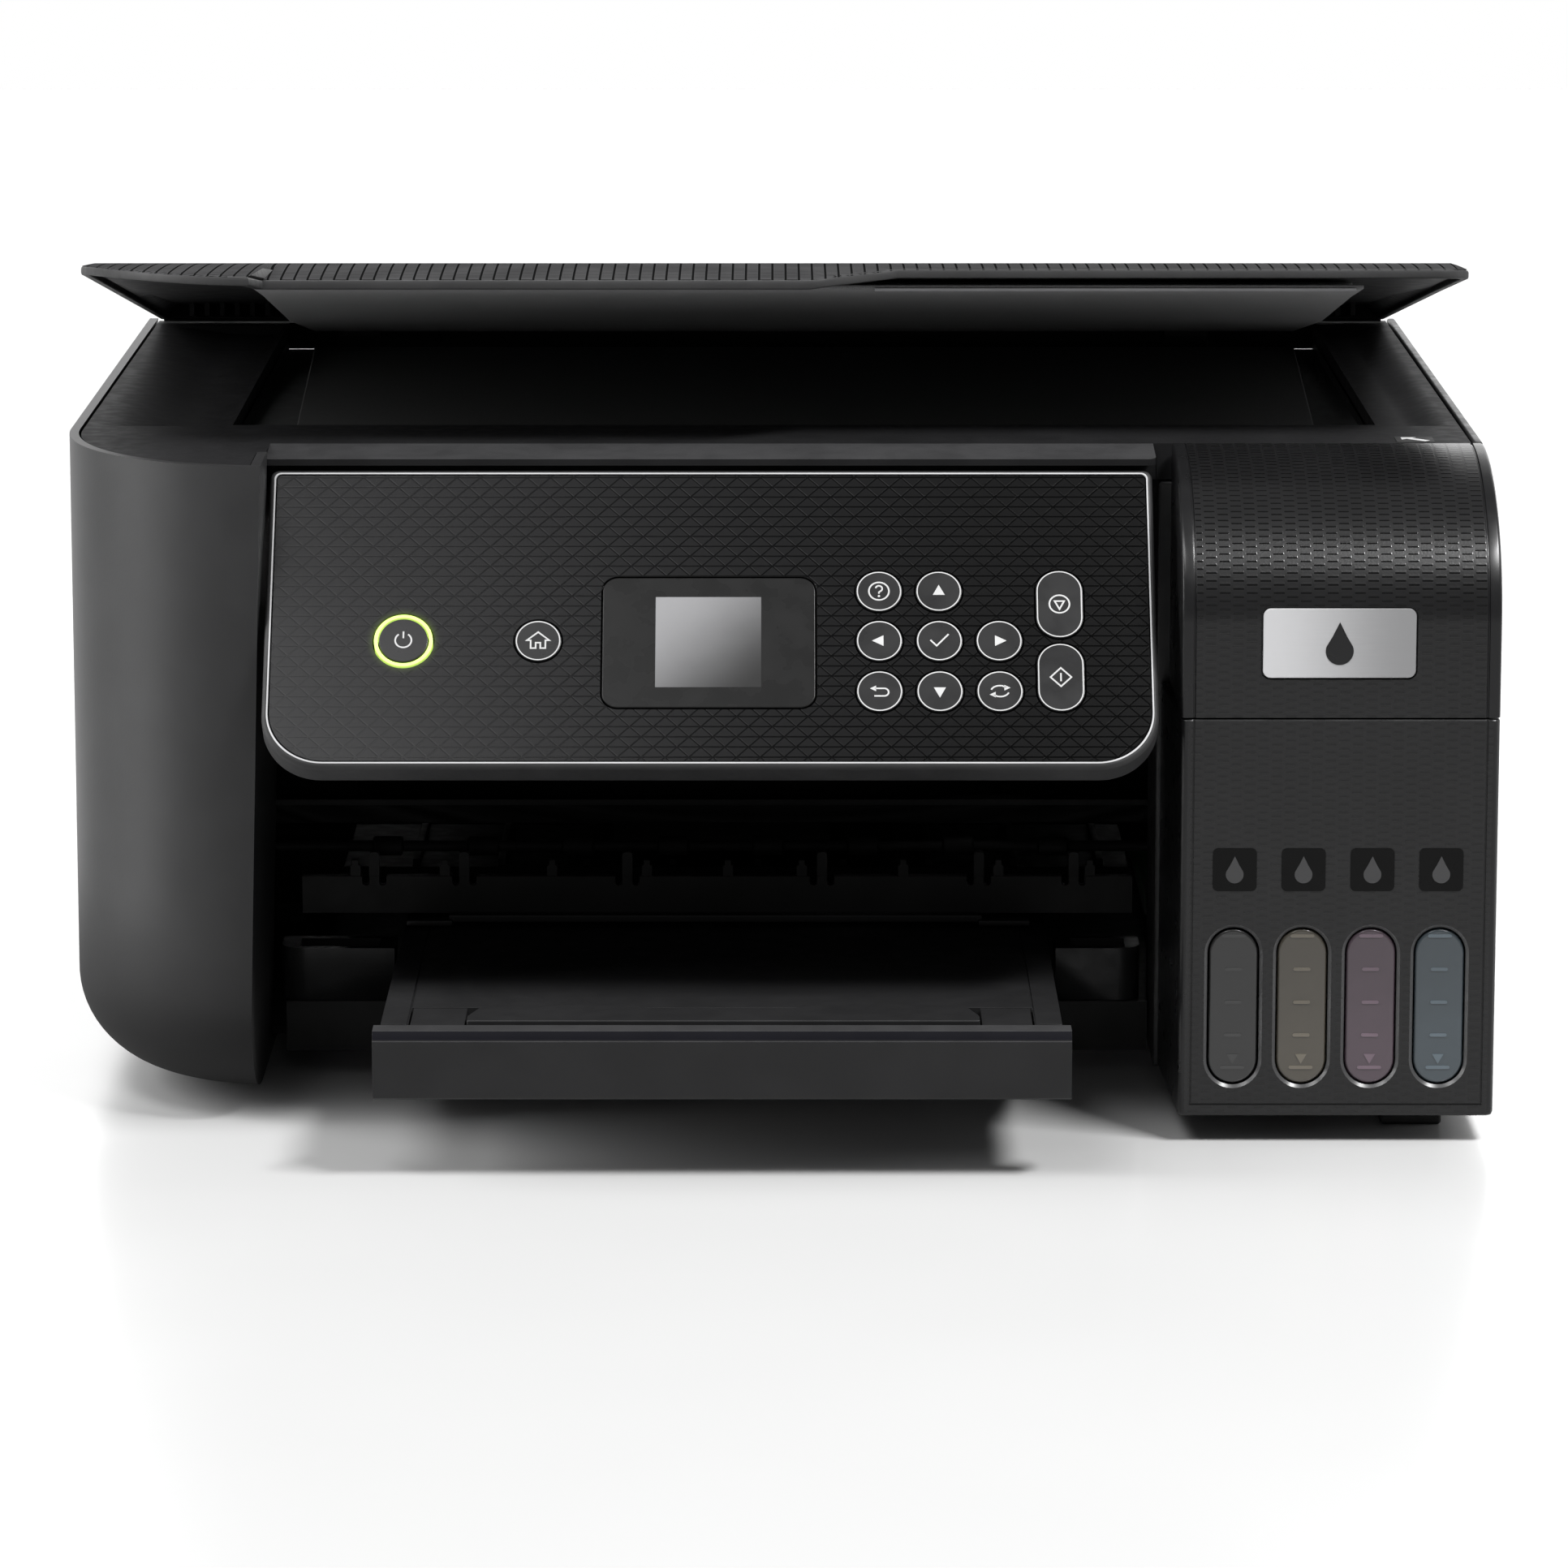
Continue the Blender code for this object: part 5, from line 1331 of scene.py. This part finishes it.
def make_lip():
    """The tray's front bar, with its broad chamfer, and the tongue behind it."""
    y1 = TANK.y0 - 31.6
    top = TRAY.z1 + 0.1
    rise = 2.0
    profile = [(LIP.y0, LIP.z0 + 0.4), (LIP.y0 + 0.4, LIP.z0), (y1, LIP.z0), (y1, top - 0.3), (y1 - 0.3, top)]
    profile += [(LIP.y0 + rise, top), (LIP.y0 + rise - 0.35, top - 0.15)]
    profile += [(LIP.y0 + 0.35, top - rise - 0.2), (LIP.y0 + 0.3, top - rise - 0.45)]
    profile += [(LIP.y0, top - rise - 0.6)]
    lip = add("fine_tray_extension", prism("X", profile, LIP.x0, LIP.x1), LOOKS["lip"])
    join(lip, block(-92.4, 66.4, y1 - 1, LIP.y1, 28, 34))
    for x0, x1 in ((-92.4, -78.6), (53.6, 66.4)):
        join(lip, block(x0, x1, y1 - 1, TRAY.y0 + 19.2, 33, TRAY.z1 - 0.1))
    soften(lip, 0.35, 3, 50)
    # Painted shade: the upward chamfer along the lip's front is painted nearly black.
    paint_faces(lip, LOOKS["strip"], lambda c, n: n.y < -0.4 and n.z > 0.4 and c.y < LIP.y0 + 3)
    # Painted light: the lip's upward faces get the lighter plastic.
    paint_faces(lip, LOOKS["ledge"], lambda c, n: n.z > 0.7 and c.y < y1)
    paint_faces(lip, LOOKS["tray"], lambda c, n: c.y > y1 + 0.5)
    smooth(lip)
    place(lip, "extension", "inner_plastic", "tray_extension")


def make_stopper():
    """The flap that holds the paper, with slanted ends and a finger hollow."""
    x0, x1, y0, y1 = STOPPER.x0, STOPPER.x1, STOPPER.y0, STOPPER.y1
    slant = 3.2
    plan = [(x0, y0), (x1, y0), (x1, y0 + 6), (x1 - slant, y1 - 1), (x1 - slant - 3, y1)]
    plan += [(x0 + slant + 3, y1), (x0 + slant, y1 - 1), (x0, y0 + 6)]
    flap = add("fine_paper_stopper", prism("Z", plan, STOPPER.z0, STOPPER.z1), LOOKS["tray"])
    hollow = rounded(-34, 8, TANK.y0 - 15, TANK.y0 - 5, (3,) * 4)
    cut(flap, prism("Z", hollow, STOPPER.z0 + 1.5, STOPPER.z1 + 5))
    dress(flap, "stopper", "inner_plastic", "paper_stopper", width=0.4, segments=3)


# Print engine

TALL_PRONGS = (-108.4, -83.9, -39.5, 13.5, 56.2, 82.0)
SHORT_PRONGS = (-113.5, -89.2, -60.0, -34.2, -12.1, 8.0, 35.6, 61.5, 86.4)
ROLLERS = 8
ROLLER_START = -109.5
ROLLER_PITCH = 26.0
SHAFT_RADIUS = 1.5


def make_comb():
    """The wall of the paper exit, with tall and short prongs on its edge."""
    comb = Box("exit_comb")
    y0, y1 = comb.y0, comb.y1
    wall = add("fine_exit_comb", block(comb.x0, comb.x1, y0, y1, comb.z0, 51.6), LOOKS["inner"])
    for x in TALL_PRONGS:
        cut(wall, *[prism("Y", obround((x + side * 2.3, 53), 1.0, 4, 6), y0 - 2, y1 + 2) for side in (-1, 1)])
    for x in TALL_PRONGS:
        prong = rounded(x - 1.4, x + 1.4, 44, 58.3, (0.2, 0.2, 1, 1), 4)
        join(wall, prism("Y", prong, y0 + 0.1, y1 - 0.1))
    for x in SHORT_PRONGS:
        prong = [(x - 1.4, 44), (x + 1.4, 44), (x + 1.4, 54.6), (x + 0.8, 54.6)]
        prong += [(x + 0.8, 56), (x - 0.8, 56), (x - 0.8, 54.6), (x - 1.4, 54.6)]
        join(wall, prism("Y", prong, y0 + 0.3, y1 - 0.3))
    dress(wall, "chassis", "inner_plastic", "exit_comb", width=0.2, segments=1)


def make_exit_roller():
    """A thin shaft with short rollers on it."""
    shaft = Box("exit_roller")
    profile = [(shaft.x0, 0.4), (shaft.x0 + 0.4, SHAFT_RADIUS)]
    for k in range(ROLLERS):
        steps = ((0.0, SHAFT_RADIUS), (0.3, 2.4), (0.7, 2.7), (7.9, 2.7), (8.3, 2.4), (8.6, SHAFT_RADIUS))
        profile += [(ROLLER_START + ROLLER_PITCH * k + ahead, radius) for ahead, radius in steps]
    profile += [(shaft.x1 - 0.4, SHAFT_RADIUS), (shaft.x1, 0.4)]
    rollers = add("fine_exit_roller", turned("X", (shaft.y, shaft.z), profile, 32), LOOKS["roller"])
    smooth(rollers)
    place(rollers, body_of("exit_roller"), SLOTS["exit_roller"], "exit_roller")


def make_slot_lip():
    """The rounded lip of the slot that the tray slides into, lower at both ends."""
    y0, y1 = TANK.y0 + 89.6, TANK.y0 + 93.4
    lip = add("slot_lip", block(-88, 57, y0, y1, TRAY.z1 + 1.2, TRAY.z1 + 3.2), LOOKS["tray"])
    for x0, x1 in ((-99.5, -87), (56, 70)):
        join(lip, block(x0, x1, y0 - 1.5, y1, TRAY.z1 + 0.5, TRAY.z1 + 2.0))
    soften(lip, 0.4)
    smooth(lip)
    place(lip, "chassis", "inner_plastic")


def make_engine():
    make_comb()
    make_exit_roller()
    make_slot_lip()
    opened = block(-140, 110, TANK.y0 + 97, TANK.y0 + 105.6, 60, 69.3)
    refine("main_frame", LOOKS["dark_steel"], 0.2, 1, cut_solids=[opened])
    for node, look, width in (
        ("print_carriage", "roller", 0.8), ("platen", "roller", 0.3), ("drive_belt", "rubber", 0.1),
        ("feed_roller", "dark_steel", 0.3), ("pickup_roller", "rubber", 0.4),
        ("idler_pulley", "dark_steel", 0.2), ("drive_pulley", "dark_steel", 0.2),
        ("paper_support", "case", 0.5),
        ("edge_guide_left", "case", 0.4), ("edge_guide_right", "case", 0.4),
        ("power_supply", "inner", 0.6), ("main_board", "board", 0.2),
    ):
        refine(node, LOOKS[look], width)


# Floor, light and camera


def plain(name, colour, roughness, **fixed):
    look = Look(name, roughness, **fixed)
    look.paint(look.worn(colour, roughness, patch=400.0, shade=0.004, spread=0.01))
    return look.material


def make_floor():
    look = plain("pale_floor", (0.54, 0.54, 0.54), 0.26, Specular_IOR_Level=0.9)
    add("floor", block(-5000, 5000, -4000, 2900, -4, 0), look)


def softbox(name, spot, aim, size, power):
    """A rectangular light at spot, in metres, that faces aim."""
    data = bpy.data.lights.new(name, "AREA")
    data.shape = "RECTANGLE"
    data.size, data.size_y = size
    data.energy = power
    light = bpy.data.objects.new(name, data)
    light.location = spot
    light.rotation_euler = (Vector(aim) - Vector(spot)).to_track_quat("-Z", "Y").to_euler()
    light.visible_camera = False
    bpy.context.scene.collection.objects.link(light)


def make_light():
    softbox("top_left", (-0.62, -0.68, 1.5), (-0.1, -0.1, 0.15), (1.1, 0.45), 14)
    softbox("top_right", (0.78, -0.68, 1.45), (0.15, -0.1, 0.15), (0.6, 0.2), 38)
    softbox("left_side", (-1.5, -0.1, 0.72), (-0.1, 0.0, 0.12), (0.9, 1.1), 30)
    softbox("right_side", (1.6, 0.1, 0.6), (0.1, 0.0, 0.1), (0.4, 1.0), 7)
    softbox("far_floor", (0.0, 2.4, 1.7), (0.0, 2.4, 0.0), (4.0, 2.0), 15)
    softbox("backdrop", (0.0, 3.6, 1.0), (0.0, 0.0, 0.95), (6.0, 1.9), 64)
    world = bpy.data.worlds.new("studio")
    world.use_nodes = True
    tree = world.node_tree
    back = tree.nodes["Background"]
    seen = tree.nodes.new("ShaderNodeLightPath").outputs["Is Camera Ray"]
    share = tree.nodes.new("ShaderNodeMapRange")
    share.inputs["To Min"].default_value = 0.2
    share.inputs["To Max"].default_value = 1.0
    tree.links.new(seen, share.inputs["Value"])
    tree.links.new(share.outputs["Result"], back.inputs["Strength"])
    back.inputs["Color"].default_value = (1.0, 1.0, 1.0, 1.0)
    bpy.context.scene.world = world
    bpy.context.scene.view_settings.view_transform = "Standard"


def make_camera():
    """The camera in front of the object; its place is in metres."""
    data = bpy.data.cameras.new("camera")
    data.lens = 160.97
    data.sensor_width = 36.0
    data.shift_x = 0.0074
    camera = bpy.data.objects.new("camera", data)
    camera.location = (0.0, -1.92959, 0.43358)
    camera.rotation_euler = (math.radians(79.21), 0.0, 0.0)
    bpy.context.scene.collection.objects.link(camera)
    bpy.context.scene.camera = camera


def main():
    make_left_case()
    make_shells()
    make_tank_housing()
    make_tiles()
    for ink, colour in INKS.items():
        make_tank(ink, colour)
    make_tank_cover()
    make_scanner()
    make_lid()
    make_panel()
    make_tray()
    make_engine()
    make_floor()
    make_light()
    make_camera()


main()
